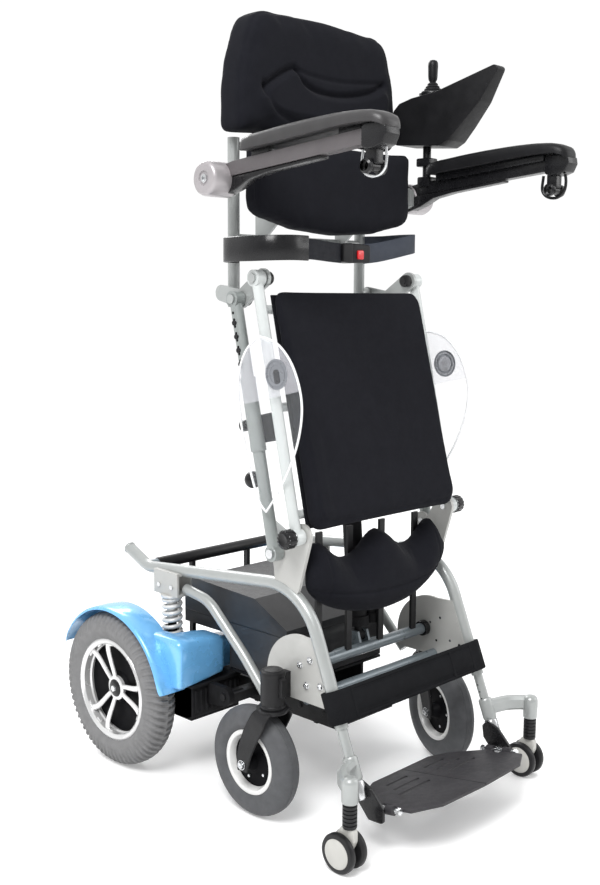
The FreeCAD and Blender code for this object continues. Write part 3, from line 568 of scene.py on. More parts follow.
def wander(data, scale, amount, seed):
    """Gentle unevenness: a noise value for each point, in mm."""
    offset = Vector((seed * 3.1, seed * 1.7, seed * 0.9))
    return np.array([noise.noise(Vector(p) * scale + offset) for p in data]) * amount


# --- wheels ---------------------------------------------------------------------------------------
def drive_wheel(side, sign):
    body = "drive_wheel_" + side
    centre = at(sign * 288, 0, AXLE_HEIGHT)
    half = [(0, 171.0), (8, 170.6), (16, 168.6), (23, 164.5), (28.5, 158), (32, 150), (34.4, 140),
            (34.8, 131),
            (32, 122), (27.5, 115.5), (25, 111.5), (22, 108)]
    profile = both_ways(half)
    blocks = 66

    def tread(a, r, turn):
        if r < 137:
            return a, r
        lean = turn * blocks / (2 * math.pi) + (0.5 if a > 0 else 0.0) + abs(a) * 0.018
        phase = lean % 1.0
        groove = 1.0 if 0.30 < phase < 0.80 else 0.0
        if abs(a) < 5:
            groove *= 0.15
        depth = 4.6 * groove * min(1.0, (r - 137) / 10)
        return a * (1 - 0.03 * groove), r - depth

    turned("drive_tyre_tread_" + side, profile, centre, "drive_rubber", body,
           segments=blocks * 8,
           shape=tread, stands_for=("drive_tyre_" + side,), sharp=24)
    bm = bmesh.new()
    ring = [(9, 101), (24, 101), (27.5, 104), (29.5, 108.5), (27.5, 112.8), (24, 114.5), (-24, 114.5),
            (-27.5, 112),
            (-27.5, 106), (-22, 103), (-6, 101), (6, 98), (9, 101)]
    lathe(bm, flip(ring, sign), centre, segments=128)
    finish_piece("drive_rim_ring_" + side, bm, "rim_silver", body, ("drive_rim_" + side,))
    bm = bmesh.new()
    dish = [(-22, 0), (-22, 24), (-12, 30), (-6, 60), (-4, 103), (0, 103), (0, 60), (-2, 36), (4, 30), (4, 0)]
    lathe(bm, flip(dish, sign), centre, segments=96)
    finish_piece("drive_rim_dish_" + side, bm, "rim_black", body)
    bm = bmesh.new()
    for k in range(3):
        middle = math.radians(118 - 120 * k)
        for lean in (-1, 1):
            points = []
            for t in (0.0, 0.2, 0.4, 0.6, 0.8, 1.0):
                r = 20 + 84 * t
                swing = math.radians(lean * (21 - 14 * t + 12 * t ** 3))
                points.append(centre + Vector((sign * (9 + 9 * t), -r * math.cos(middle + swing),
                                               r * math.sin(middle + swing))) * MM)
            outward = Vector((sign, 0, 0))
            route = smooth_path(points, 4)
            run = (route[-1] - route[0]).normalized()
            strap(bm, route, [9.5 + 0.22 * j for j in range(21)], 7.0, run.cross(outward), rounding=0.35)
        for spread in (-24, 0, 24):
            a = middle + math.radians(spread)
            strap(bm, [centre + Vector((sign * 17 * MM, -r * MM * math.cos(a), r * MM * math.sin(a)))
                       for r in (97, 101, 105)], 15, 9, Vector((0, math.sin(a), math.cos(a))))
    lathe(bm, flip([(4, 27), (11, 27), (13, 24), (13, 12)], sign), centre, segments=64)
    finish_piece("drive_spokes_" + side, bm, "rim_silver", body)
    cap = [(16, 0), (17.5, 6), (17, 12), (15, 17), (12, 21), (2, 23), (-4, 23)]
    turned("drive_hub_cap_" + side, flip(cap, sign), centre, "gloss_black", body,
           segments=48)
    bm = bmesh.new()
    lathe(bm, flip([(20, 0), (20, 7), (16, 8.5), (14, 8.5)], sign), centre, segments=6)
    finish_piece("drive_hub_nut_" + side, bm, "bright_steel", body, sharp=20)


def caster_frame(side):
    """Centre line and directions of a caster: its stem, which way it trails, and its axle's direction."""
    if side == "right":
        return at(-CASTER_STEM_X, CASTER_STEM_Y, 0), Vector((0, 1, 0)), Vector((1, 0, 0))
    turn = Matrix.Rotation(math.radians(161), 3, "Z")
    return at(CASTER_STEM_X, CASTER_STEM_Y, 0), turn @ Vector((0, 1, 0)), turn @ Vector((1, 0, 0))


def caster(side):
    stem, trail, axle = caster_frame(side)
    body, swivel = "caster_wheel_" + side, "caster_swivel_" + side
    centre = stem + trail * CASTER_TRAIL + CASTER_HUB
    half = [(0, 112.0), (4, 111.9), (5, 110.8), (6.2, 110.8), (7.2, 111.4), (12, 109.6), (17, 106),
            (21.5, 100),
            (24.5, 92), (26.5, 84), (26.8, 77), (24.5, 71.5), (20, 67), (17, 65.5)]
    turned("caster_tread_" + side, both_ways(half), centre, "caster_rubber", body,
           axis=axle, segments=120, stands_for=("caster_tyre_" + side,))
    bm = bmesh.new()
    for s in (-1, 1):
        ring = [(3, 52), (8, 52.5), (15, 54.5), (19.5, 57), (21, 61), (20, 65.5), (15, 67.5), (3, 66)]
        lathe(bm, flip(ring + ring[:1], s), centre, axle, 96)
    finish_piece("caster_rim_ring_" + side, bm, "caster_white", body, ("caster_rim_" + side,))
    dish = [(-26, 0), (-26, 11), (-22, 15), (-11, 19), (-7, 30), (-6, 53), (6, 53), (7, 30), (11, 19),
            (22, 15),
            (26, 11), (26, 0)]
    turned("caster_hub_" + side, dish, centre, "rim_black", body, axis=axle, segments=72)
    bm = bmesh.new()
    for k in range(5):
        a = 2 * math.pi * k / 5
        spot = centre + trail * (math.cos(a) * 0.037) + Vector((0, 0, math.sin(a) * 0.037))
        for s in (-1, 1):
            lathe(bm, flip([(9, 0), (9, 3.2), (6, 3.6)], s), spot, axle, 6)
    finish_piece("caster_rim_bolts_" + side, bm, "bright_steel", body, sharp=20)

    def local(a, y, z):
        return stem + axle * (a * MM) + trail * (y * MM) + Vector((0, 0, z * MM))

    route = [(-35.5, 48, 99), (-35.5, 48, 112), (-35.5, 42, 138), (-35.5, 27, 175), (-35.5, 10, 205),
             (-34, 3, 219),
             (-28, 0, 227), (-18, 0, 230), (18, 0, 230), (28, 0, 227), (34, 3, 219), (35.5, 10, 205),
             (35.5, 27, 175),
             (35.5, 42, 138), (35.5, 48, 112), (35.5, 48, 99)]
    bm = bmesh.new()
    path = smooth_path([local(*p) for p in route], 4)
    count = len(path)
    widths = [28 + 14 * min(1.0, 2.6 * min(k, count - 1 - k) / (count / 2)) for k in range(count)]
    strap(bm, path, widths, 5.4, trail, rounding=0.3)
    lathe(bm, [(226, 0), (226, 30), (229, 32), (234, 32), (234, 20), (238, 9), (286, 9), (286, 0)], stem,
          (0, 0, 1), 40)
    finish_piece("caster_fork_strap_" + side, bm, "black_metal", swivel,
                 ("caster_fork_" + side,))
    bm = bmesh.new()
    for s in (-1, 1):
        lathe(bm, flip([(37.5, 10), (40, 10), (40, 8.5), (38.6, 8)], s), centre, axle, 32)
        nut = [(38, 7.2), (44, 7.2), (44.6, 6), (44.6, 3), (42.5, 2.6), (42.5, 0)]
        lathe(bm, flip(nut, s), centre, axle, 6)
        lathe(bm, flip([(36.4, 0), (36.4, 10), (37.6, 10)], s), centre, axle, 32)
    finish_piece("caster_axle_bolt_" + side, bm, "bright_steel", swivel, sharp=25)


def fender(side, sign):
    body = "drive_unit_" + side
    hub = at(0, 0, AXLE_HEIGHT)
    outer = [(248.5, 150), (248.5, 176), (249.5, 181), (252, 184.4), (256, 186), (285, 187), (312, 186),
             (317.5, 185),
             (320.5, 182.5), (321.5, 179), (320, 178.6), (318.4, 181), (315.5, 182.6), (285, 183.4),
             (257, 182.4),
             (253.6, 180.6), (252, 178), (251.6, 150)]
    rings = []
    for k in range(65):
        turn = math.radians(24 + (170 - 24) * k / 64)
        near = min(k, 64 - k)
        pull = 1.0 if near > 4 else math.sqrt(1 - (1 - near / 5) ** 2)
        ring = []
        for x, r in outer:
            x = 249 + (x - 249) * (0.93 + 0.07 * pull)
            ring.append(hub + Vector((sign * x * MM, math.cos(turn) * r * MM, math.sin(turn) * r * MM)))
        rings.append(ring)
    bm = bmesh.new()
    loft(bm, rings)
    finish_piece("fender_band_" + side, bm, "fender_blue", body, ("fender_" + side,), sharp=50)

    def section(x, front, low, high):
        """One cut across the shroud; beside the tyre its back follows an arc clear of it."""
        points = [(front + 9, low), (front + 2.6, low + 2.8), (front, low + 10), (front, high - 17),
                  (front + 2.5, high - 8), (front + 8, high - 2.5), (front + 17, high)]
        for j in range(7):
            z = high - (high - low) * j / 6
            y = -142
            if x > 249:
                y = max(-math.sqrt(max(186.5 ** 2 - (z - AXLE_HEIGHT) ** 2, 0)), front + 19)
            points.append((y, z))
        return [at(sign * x, y, z) for y, z in points]

    stations = [(287, -198, 222, 306), (286, -203, 216, 312), (283, -206, 213, 316), (275, -207, 212, 318),
                (254, -207, 214, 317), (249.5, -207, 214.5, 316), (248.8, -207, 214.7, 316),
                (200, -207, 220, 311),
                (170, -207, 224, 307), (163, -205.5, 225, 306), (158, -201, 226, 304), (155, -195, 226, 301),
                (152, -189.5, 226, 297), (146, -187, 225.5, 295), (112, -184, 223, 291),
                (107, -180, 225, 288),
                (105, -174, 230, 283)]
    bm = bmesh.new()
    loft(bm, [section(*s) for s in stations])
    finish_piece("motor_shroud_" + side, bm, "fender_blue", body, sharp=60)
    bm = bmesh.new()
    slab(bm, [(-206, 207), (-206, 213.5), (-143, 221), (-143, 207)], 252, 110, side_on(sign))
    slab(bm, [(-200, 142), (-200, 207), (-60, 207), (-60, 152), (-90, 134), (-180, 134)], 246, 112,
         side_on(sign))
    for x in range(122, 240, 14):
        slab(bm, [(-203.5, 150), (-203.5, 200), (-199, 200), (-199, 150)], x, x + 6, side_on(sign))
    bevel_edges(bm, 2.0, 2)
    finish_piece("motor_underside_" + side, bm, "motor_black", body)


def suspension_spring(side, sign):
    x, y = sign * 222, -105
    turns, radius, wire, low, rise = 6.5, 18.5, 4.6, 304.0, 84.0
    count = int(turns * 22) + 1
    shares = [t / (turns * 22) for t in range(count)]
    steps = [0.25 if min(t, 1 - t) * turns < 0.6 else 1.0 for t in shares]     # the end coils lie closed
    total = sum(steps)
    height, points = low, []
    for t, step in zip(shares, steps):
        a = 2 * math.pi * turns * t
        points.append(at(x + radius * math.cos(a), y + radius * math.sin(a), height))
        height += rise * step / total
    bm = bmesh.new()
    round_bar(bm, points, wire, 10)
    coil = finish_piece("suspension_coil_" + side, bm, "spring_white", None,
                        ("coil_spring_" + side,))
    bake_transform(coil)
    bm = bmesh.new()
    lathe(bm, [(330, 9), (330, 12), (392, 12), (392, 9)], at(x, y, 0), (0, 0, 1), 32)
    lathe(bm, [(386, 12), (386, 25), (388, 26), (392, 26), (392, 12)], at(x, y, 0), (0, 0, 1), 40)
    finish_piece("damper_top_" + side, bm, "spring_white", "frame")
    bm = bmesh.new()
    lathe(bm, [(296, 0), (296, 25), (299, 26.5), (303, 26), (303, 11), (345, 8), (345, 0)], at(x, y, 0),
          (0, 0, 1), 40)
    finish_piece("damper_foot_" + side, bm, "boot_rubber", "drive_unit_" + side)


# --- upholstery -----------------------------------------------------------------------------------
def pad_shape(outline, front, rear, place, edge, inset):
    """A closed slab with rounded edges, the start of a stuffed pad."""
    middle = Vector((sum(p[0] for p in outline) / len(outline), sum(p[1] for p in outline) / len(outline)))
    pulled = [tuple(Vector(p) - (Vector(p) - middle).normalized() * inset) for p in outline]
    bm = bmesh.new()
    slab(bm, pulled, front, rear, place)
    bevel_edges(bm, edge, 4, angle=50)
    return bm


def upright(a, b, c):
    return at(a, c, b)


def back_cushion():
    outline = mirrored([(-242, 1347), (-242, 1430), (-233, 1490), (-214, 1549), (-201, 1573), (-176, 1587),
                        (-100, 1594), (0, 1599)])
    bm = pad_shape(outline, -341, -270, upright, 15, inset=4)
    mesh = stuffed(bm, 6)
    data = coordinates(mesh)
    x, y, z = in_mm(data)
    flat = np.stack([x, z], axis=1)
    front = np.clip((-305 - y) / 12, 0, 1)
    upper = curve2([(-172, 1440), (-140, 1462), (-100, 1482), (-88, 1478), (-70, 1460), (-30, 1446),
                    (30, 1444),
                    (90, 1452), (140, 1466), (176, 1484)])
    ridge = curve2([(-88, 1480), (-40, 1474), (30, 1472), (100, 1478), (176, 1487)])
    lower = curve2([(-176, 1442), (-172, 1420), (-150, 1398), (-110, 1384), (-60, 1378)])
    roll = np.interp(x, [p[0] for p in upper], [p[1] for p in upper], left=1440, right=1484)
    below = np.clip((roll - z) / 26, 0, 1) * np.clip((z - 1372) / 40, 0,
                                                     1) * np.clip((205 - np.abs(x)) / 40, 0, 1)
    push = 14.0 * below * below * (3 - 2 * below)
    push -= 9.0 * groove(flat, upper, 5.5)
    push -= 3.6 * groove(flat, ridge, 4.0)
    push -= 8.0 * groove(flat, lower, 6.0)
    border = [(px * 0.94, 1450 + (pz - 1450) * 0.925) for px, pz in outline]
    push -= 3.4 * groove(flat, curve2(border, 5), 3.0)
    push += wander(data, 9.0, 1.6, 1.0)
    data[:, 1] -= push * front * MM
    data[:, 1] = np.clip(data[:, 1], AXLE_Y - 0.356, AXLE_Y - 0.2665)
    set_coordinates(mesh, data)
    pad = settle("back_pad_cover", mesh, "pad_black", "back", ("back_cushion",), sharp=80)


def lower_back_pad():
    outline = mirrored([(-236, 1341), (-238, 1215), (-232, 1196), (-214, 1184), (-120, 1160), (0, 1150)])
    bm = pad_shape(outline, -386, -342, upright, 9, inset=3)
    mesh = stuffed(bm, 5)
    data = coordinates(mesh)
    x, y, z = in_mm(data)
    front = np.clip((-350 - y) / 14, 0, 1)
    flat = np.stack([x, z], axis=1)
    border = [(px * 0.955, 1250 + (pz - 1250) * 0.91) for px, pz in outline]
    push = -1.8 * groove(flat, border + border[:1], 2.6)
    push += wander(data, 8.0, 1.8, 2.0)
    data[:, 1] -= push * front * MM
    seam = np.exp(-((y + 372) / 2.4) ** 2) * (np.abs(x) > 225)
    data[:, 0] -= np.sign(x) * 1.8 * seam * MM
    data[:, 1] = np.clip(data[:, 1], AXLE_Y - 0.392, AXLE_Y - 0.3402)
    data[:, 0] = np.clip(data[:, 0], -0.238, 0.238)
    set_coordinates(mesh, data)
    pad = settle("lower_back_cover", mesh, "pad_black", "back", ("lower_back_pad",), sharp=80)


def seat_at(x, s, n):
    """A point s mm up the seat from its pivot and n mm ahead of the seat tubes."""
    y, z = (start + s * up + n * out for start, up, out in zip(SEAT_PIVOT, ALONG, AHEAD))
    return at(x, y, z)


def seat_cushion():
    outline = rounded([(-218, 3), (218, 3), (218, 475), (-218, 475)], 26, 6)
    bm = bmesh.new()
    rings = []
    for n, inset in ((9, 5), (13, 1), (26, 0), (36, 1), (42, 5), (46, 12), (47, 26)):
        ring = []
        for x, s in outline:
            top = np.interp(s, [0, 30, 380, 452, 475], [0.82, 1.0, 0.72, 0.60, 0.46])
            kx, ks = 1 - inset / 214, 1 - inset / 231
            ring.append(seat_at(x * kx, 238 + (s - 238) * ks, 9 + (n - 9) * top))
        rings.append(ring)
    loft(bm, rings)
    mesh = stuffed(bm, 4, voxel=0.0062, smooth=3)
    data = coordinates(mesh)
    x, y, z = in_mm(data)
    y, z = y - SEAT_PIVOT[0], z - SEAT_PIVOT[1]
    s, n = y * ALONG[0] + z * ALONG[1], y * AHEAD[0] + z * AHEAD[1]
    flat = np.stack([x, s], axis=1)
    border = curve2(rounded([(-203, 20), (203, 20), (203, 456), (-203, 456)], 24, 4), 2)
    face = np.clip((n - 18) / 8, 0, 1)
    push = -1.5 * groove(flat, border + border[:1], 2.6) + wander(data, 7.0, 1.6, 3.0)
    limit = np.interp(s, [0, 30, 380, 452, 475], [38, 46.5, 32, 25.5, 20.5])
    moved = np.clip(n + push * face, 8.7, limit) - n
    data[:, 1] += moved * AHEAD[0] * MM
    data[:, 2] += moved * AHEAD[1] * MM
    data[:, 0] = np.clip(data[:, 0], -0.2195, 0.2195)
    set_coordinates(mesh, data)
    pad = settle("seat_cover", mesh, "pad_black", "seat", ("seat_cushion",), sharp=80)


def knee_pad():
    """A curved bolster with three fins and a scooped rest for each leg."""
    def crest(x):
        return np.interp(abs(x), [0, 12, 28, 50, 75, 95, 115, 140, 160, 175, 190, 202],
                         [568, 565, 555, 537, 526, 523, 526, 538, 554, 563, 562, 545])

    def base(x):
        return 394 + 62 * (abs(x) / 210) ** 2.3

    rings = []
    for t in np.linspace(-1, 1, 61):
        x = 209 * t
        end = math.sqrt(max(1 - (abs(t)) ** 14, 0.0))
        low, high = base(x), crest(x)
        front = -543 + 18 * (abs(x) / 209) ** 2.5
        rear = -479
        scoop = 26 * math.exp(-((abs(x) - 95) / 40) ** 2)
        mid_y, mid_z = (front + rear) / 2, (low + high) / 2
        ring = []
        section = [(rear, high - 4), (rear, low + 12), (rear - 8, low + 3), (rear - 22, low),
                   (front + 16, low + 9),
                   (front + 4, low + 24), (front - 1, low + 42), (front, low + 60),
                   (front + 3, high - 52 - scoop * 0.6),
                   (front + 9, high - 36 - scoop * 0.5), (front + 18 + scoop * 0.2, high - 20 - scoop * 0.25),
                   (front + 32 + scoop * 0.1, high - 7), (rear - 12, high)]
        for y, z in section:
            ring.append(at(x, mid_y + (y - mid_y) * (0.35 + 0.65 * end),
                           mid_z + (z - mid_z) * (0.35 + 0.65 * end)))
        rings.append(ring)
    bm = bmesh.new()
    loft(bm, rings)
    mesh = stuffed(bm, 4, voxel=0.0055, smooth=5)
    data = coordinates(mesh)
    x, y, z = in_mm(data)
    level = 447 + 26 * (np.abs(x) / 210) ** 2
    seam = np.exp(-((z - level) / 3.0) ** 2) * np.clip((-485 - y) / 20, 0, 1)
    data[:, 1] += 3.0 * seam * MM
    panel = np.exp(-((np.abs(x) - 168) / 2.6) ** 2) * np.clip((-500 - y) / 20, 0, 1)
    data[:, 1] += 1.8 * panel * MM
    data[:, 0] = np.clip(data[:, 0], -0.2125, 0.2125)
    data[:, 1] = np.clip(data[:, 1], AXLE_Y - 0.548, AXLE_Y - 0.4785)
    data[:, 2] = np.clip(data[:, 2], 0.391, 0.5705)
    set_coordinates(mesh, data)
    pad = settle("knee_pad_cover", mesh, "pad_black", "frame", ("knee_pad",), sharp=80)


def down_tube(z):
    """The y of the down tubes' centre line at height z."""
    return -500 + 103 * (z - 482) / 257


def calf_strap():
    lean = math.atan2(103, 257)

    def on_tube(x, out, up):
        """A point on the strap: out from the down tubes' plane, up along them from the strap's middle."""
        z0 = 263 + up * math.cos(lean)
        return at(x, down_tube(z0) - out * math.cos(lean), z0 + out * math.sin(lean))

    across = Vector((0, math.sin(lean), math.cos(lean)))
    route = mirrored([(-199, -12), (-206, -17), (-218, -19), (-230, -16), (-236, -6), (-237, 4), (-232, 13),
                      (-220, 18.5), (-200, 19.5), (-150, 18.5), (-75, 17.5), (0, 17.5)])
    bm = bmesh.new()
    strap(bm, smooth_path([on_tube(x, out, 0) for x, out in route], 5), 63, 5.0, across)
    main = finish_piece("calf_band", bm, "strap_black", "frame", ("calf_strap",), sharp=60)
    bm = bmesh.new()
    inner = [(-190, 21.8), (-150, 21.4), (-75, 20.6), (0, 20.4), (75, 20.6), (150, 21.4), (190, 21.8)]
    strap(bm, smooth_path([on_tube(x, out, 1) for x, out in inner], 5), 38, 2.4, across)
    for up in (-27, 27):
        strap(bm, smooth_path([on_tube(x, out - 0.6, up) for x, out in inner], 5), 5, 2.6, across)
    for x in (-188, 120, 188):
        strap(bm, [on_tube(x, 21.5, u) for u in (-26, 0, 26)], 7, 3.0, (1, 0, 0))
    finish_piece("calf_band_layer", bm, "strap_black", "frame", sharp=60)


# --- belt -----------------------------------------------------------------------------------------
def lap_belt():
    def band(name, route, width, thick, mat, low):
        bm = bmesh.new()
        strap(bm, smooth_path([at(x, y, low + width / 2 + dz) for x, y, dz in route], 6), width, thick,
              (0, 0, 1))
        return finish_piece(name, bm, mat, "back", sharp=60)

    loop = [(-191, -287, 6), (-232, -296, 6), (-258, -322, 6), (-268, -365, 6), (-268, -412, 6),
            (-252, -448, 7),
            (-218, -467, 8), (-176, -466, 8)]
    hip = band("belt_hip_loop", loop, 47, 3.6, "gloss_black", 1093)
    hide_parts("lap_belt")
    band("belt_webbing_right", [(-196, -463, 4), (-150, -458, 3), (-90, -441, 1), (-38, -424, 0)], 39, 2.6,
         "webbing_dark", 1100.5)
    route = [(40, -415, 0), (90, -411, 5), (140, -409, 13), (190, -407, 22), (229, -398, 28), (247, -368, 30),
             (247, -330, 30), (232, -302, 28), (191, -287, 26)]
    band("belt_webbing_left", route, 40, 2.6, "webbing", 1101)
    bm = bmesh.new()
    slab(bm, rounded([(-40, 1103), (-40, 1139), (-10, 1142), (-10, 1100)], 6), -433, -407, upright)
    slab(bm, rounded([(-12, 1101), (-12, 1141), (45, 1139), (45, 1103)], 7), -431, -409, upright)
    bevel_edges(bm, 2.4, 3)
    finish_piece("buckle_shell", bm, "pod_black", "back", ("belt_buckle",))
    bm = bmesh.new()
    slab(bm, rounded([(3, 1109), (3, 1127), (21, 1127), (21, 1109)], 4), -434.5, -428, upright)
    bevel_edges(bm, 1.2, 3)
    finish_piece("buckle_release_pad", bm, "button_red", "buckle_release", ("buckle_button",))


# --- armrests -------------------------------------------------------------------------------------
def armrest(side, sign):
    body = "arm_" + side
    hub = at(0, *ARM_PIVOT)
    bm = bmesh.new()
    ring = [(264, 27), (266, 31), (270, 32.5), (300, 33), (322, 32.5), (327, 30.5), (329.5, 27), (330, 22),
            (329, 14), (326.5, 13), (326, 0)]
    lathe(bm, flip(ring, sign), hub, segments=72)
    finish_piece("arm_hub_" + side, bm, "hub_silver", body, ("armrest_" + side,))
    bolt = [(325.5, 9), (329, 9), (329.6, 8), (329.6, 4.5), (326.5, 4.2), (326.5, 0)]
    turned("arm_hub_bolt_" + side, flip(bolt, sign), hub, "bright_steel", body, segments=6)
    outline = [(-352, 1277), (-380, 1283), (-700, 1311), (-712, 1310), (-712, 1286), (-700, 1285),
               (-384, 1257),
               (-358, 1254)]
    # The far (left) bar is gloss black instead of the right's mauve metal: painted shade.
    bar_mat_shaded_left = "arm_mauve" if side == "right" else "gloss_black"
    plate("arm_bar_" + side, rounded(outline, 3, 3), 266, 290, side_on(sign), bar_mat_shaded_left, body,
          bevel=2.4)
    under = [(-352, 1254), (-384, 1256), (-600, 1275.5), (-600, 1271), (-470, 1257), (-420, 1248),
             (-385, 1232),
             (-352, 1222), (-338, 1224)]
    plate("arm_underside_" + side, under, 263, 287, side_on(sign), "gloss_black", body,
          bevel=1.6)
    nose = [(-702, 1280), (-702, 1314), (-712, 1318), (-744, 1318), (-754, 1310), (-756, 1298), (-748, 1282),
            (-730, 1276), (-712, 1276)]
    bm = bmesh.new()
    slab(bm, rounded(nose, 5, 3), 260, 297, side_on(sign))
    slab(bm, rounded([(-726, 1252), (-726, 1280), (-704, 1280), (-704, 1252)], 3), 266, 288, side_on(sign))
    bevel_edges(bm, 2.6, 3)
    finish_piece("arm_nose_" + side, bm, "gloss_black", body)
    bm = bmesh.new()
    knob = [(254, 9), (257, 12.5), (264, 12.5), (266, 8), (292, 8), (294, 12.5), (300, 12.5), (303, 9)]
    lathe(bm, flip(knob, sign), at(0, -715, 1248), segments=32)
    finish_piece("arm_clamp_knob_" + side, bm, "gloss_black", body)
    # The far (left) clamp loop is gloss black instead of steel: painted shade.
    loop_mat_shaded_left, loop_r = ("gloss_black", 3.0) if side == "left" else ("bright_steel", 2.4)
    loop = [(-690, 1278), (-688, 1250), (-700, 1236), (-722, 1233), (-738, 1244), (-742, 1262), (-740, 1278)]
    bm = bmesh.new()
    round_bar(bm, smooth_path([at(sign * 277, y, z) for y, z in loop], 6), loop_r, 12)
    finish_piece("arm_clamp_loop_" + side, bm, loop_mat_shaded_left, body)
    stations = [(-406, 1306, 1311, 14), (-407.5, 1301, 1317, 22), (-411, 1299, 1321, 26.5),
                (-420, 1299, 1325, 29.5),
                (-460, 1302, 1330, 31), (-520, 1306.5, 1336, 31), (-600, 1313, 1341, 31.2),
                (-660, 1318, 1342.5, 31.2),
                (-705, 1319, 1341, 31), (-730, 1318, 1337.5, 30), (-744, 1314, 1332, 27),
                (-751, 1309, 1325, 21),
                (-754, 1310, 1319, 12)]
    section = mirrored([(-1, 0.0), (-1.0, 0.30), (-0.96, 0.62), (-0.82, 0.86), (-0.5, 0.97), (0, 1.0)])
    section += [(0.9, -0.06), (0.5, -0.02), (0, 0), (-0.5, -0.02), (-0.9, -0.06)]
    bm = bmesh.new()
    loft(bm, [[at(sign * 275 + a * half, y, low + (high - low) * b) for a, b in section]
              for y, low, high, half in stations])
    bmesh.ops.recalc_face_normals(bm, faces=bm.faces)
    bmesh.ops.subdivide_edges(bm, edges=[e for e in bm.edges if e.calc_length() > 0.02], cuts=1, smooth=0.6)
    # The far (left) pad gets a blacker material than the right one: painted shade.
    pad_mat_shaded_left = "arm_pad" if side == "right" else "pod_black"
    pad = finish_piece("arm_pad_skin_" + side, bm, pad_mat_shaded_left, body, ("armrest_pad_" + side,), sharp=50)
    bm = bmesh.new()
    # On the left only, a black block fills the gap under the pad: painted shade.
    if side == "left":
        slab(bm, [(-430, 1284), (-430, 1302), (-560, 1310), (-700, 1318), (-700, 1306)], 258, 292,
             side_on(sign))
    slab(bm, [(-424, 1288), (-424, 1301), (-470, 1305), (-470, 1292)], 266, 284, side_on(sign))
    slab(bm, [(-640, 1306), (-640, 1318), (-690, 1320), (-690, 1310)], 266, 284, side_on(sign))
    bevel_edges(bm, 1.0, 2)
    finish_piece("arm_pad_blocks_" + side, bm, "gloss_black", body)


def joystick():
    profile = rounded([(-318, 1376), (-321, 1440), (-338, 1455), (-372, 1463), (-440, 1470), (-500, 1487),
                       (-575, 1510.5), (-585, 1503), (-545, 1440), (-500, 1394), (-470, 1366), (-448, 1356),
                       (-400, 1360), (-332, 1366)], 9, 3)
    bm = bmesh.new()
    slab(bm, profile, 241, 311, side_on(1))
    for vert in bm.verts:
        ahead = AXLE_Y - vert.co.y
        narrow = 1 - 0.62 * min(max((ahead - 0.45) / 0.135, 0), 1) ** 1.3
        vert.co.x = 0.272 + (vert.co.x - 0.272) * narrow
    bevel_edges(bm, 5.0, 4)
    finish_piece("controller_shell", bm, "pod_black", "arm_left", ("joystick_pod",))
    bm = bmesh.new()
    slope = math.atan2(1507 - 1476, 572 - 458)

    def on_top(x, along, up):
        return at(x, -458 - along * math.cos(slope) + up * math.sin(slope),
                  1476.4 + along * math.sin(slope) + up * math.cos(slope))

    for x, along, half_x, half_a in ((260, 22, 7, 5), (288, 22, 7, 5), (273, 46, 15, 9), (264, 70, 5, 4),
                                     (282, 70, 5, 4)):
        ring = rounded([(x - half_x, along - half_a), (x + half_x, along - half_a),
                        (x + half_x, along + half_a),
                        (x - half_x, along + half_a)], 3)
        slab(bm, ring, -2.5, 1.6, on_top)
    bevel_edges(bm, 0.7, 2)
    finish_piece("controller_keys", bm, "gloss_black", "arm_left")
    turned("controller_collar", [(1462, 28), (1472, 29.5), (1475, 28.5), (1476.5, 26.5), (1475, 25),
                                 (1466, 24.6)],
           at(STICK_X, STICK_Y, 0), "gloss_black", "arm_left", axis=(0, 0, 1), segments=64)
    boot = [(1461, 18.5), (1468, 20.2), (1473, 20.8), (1477, 20.2), (1479, 17.4), (1480.5, 18.6),
            (1483, 17.6),
            (1484.5, 14.6), (1486.5, 15.4), (1488.6, 13.8), (1490, 11.2), (1492.5, 11.6), (1495, 9.4),
            (1497, 6.0),
            (1497, 0)]
    turned("controller_boot", boot, at(STICK_X, STICK_Y, 0), "boot_rubber", "joystick_base",
           axis=(0, 0, 1),
           segments=64, stands_for=("joystick_boot",))
    stick = [(1493, 0), (1493, 6), (1498, 7), (1502, 9.4), (1508, 10.2), (1532, 11), (1538, 10.4), (1542, 8),
             (1543.5, 4), (1543.5, 0)]
    turned("controller_stick", stick, at(STICK_X, STICK_Y, 0), "pod_black", "joystick_top",
           axis=(0, 0, 1),
           segments=48, stands_for=("joystick_stick",))
    bm = bmesh.new()
    round_bar(bm, [at(275, -392, z) for z in (1282, 1300, 1330, 1362)], 9.0, 24)
    slab(bm, rounded([(-410, 1318), (-410, 1336), (-374, 1336), (-374, 1318)], 4), 260, 290, side_on(1))
    slab(bm, rounded([(-408, 1274), (-408, 1296), (-376, 1296), (-376, 1274)], 4), 262, 294, side_on(1))
    bevel_edges(bm, 1.4, 2)
    finish_piece("controller_post", bm, "gloss_black", "arm_left")
    bm = bmesh.new()
    round_bar(bm, smooth_path([at(290, -392, 1327), at(300, -396, 1327), at(306, -410, 1324),
                               at(308, -428, 1318)], 5),
              [3.4] * 5 + [3.2] * 5 + [4.2] * 6, 12)
    finish_piece("controller_post_lever", bm, "bright_steel", "arm_left")


# --- lift details ---------------------------------------------------------------------------------
GUARD = [(56, -52), (84, -18), (128, 26), (185, 66), (247, 87), (312, 80), (360, 52), (383, 14), (384, -8),
         (366, -42), (330, -68), (280, -81), (200, -84), (120, -76), (76, -66)]


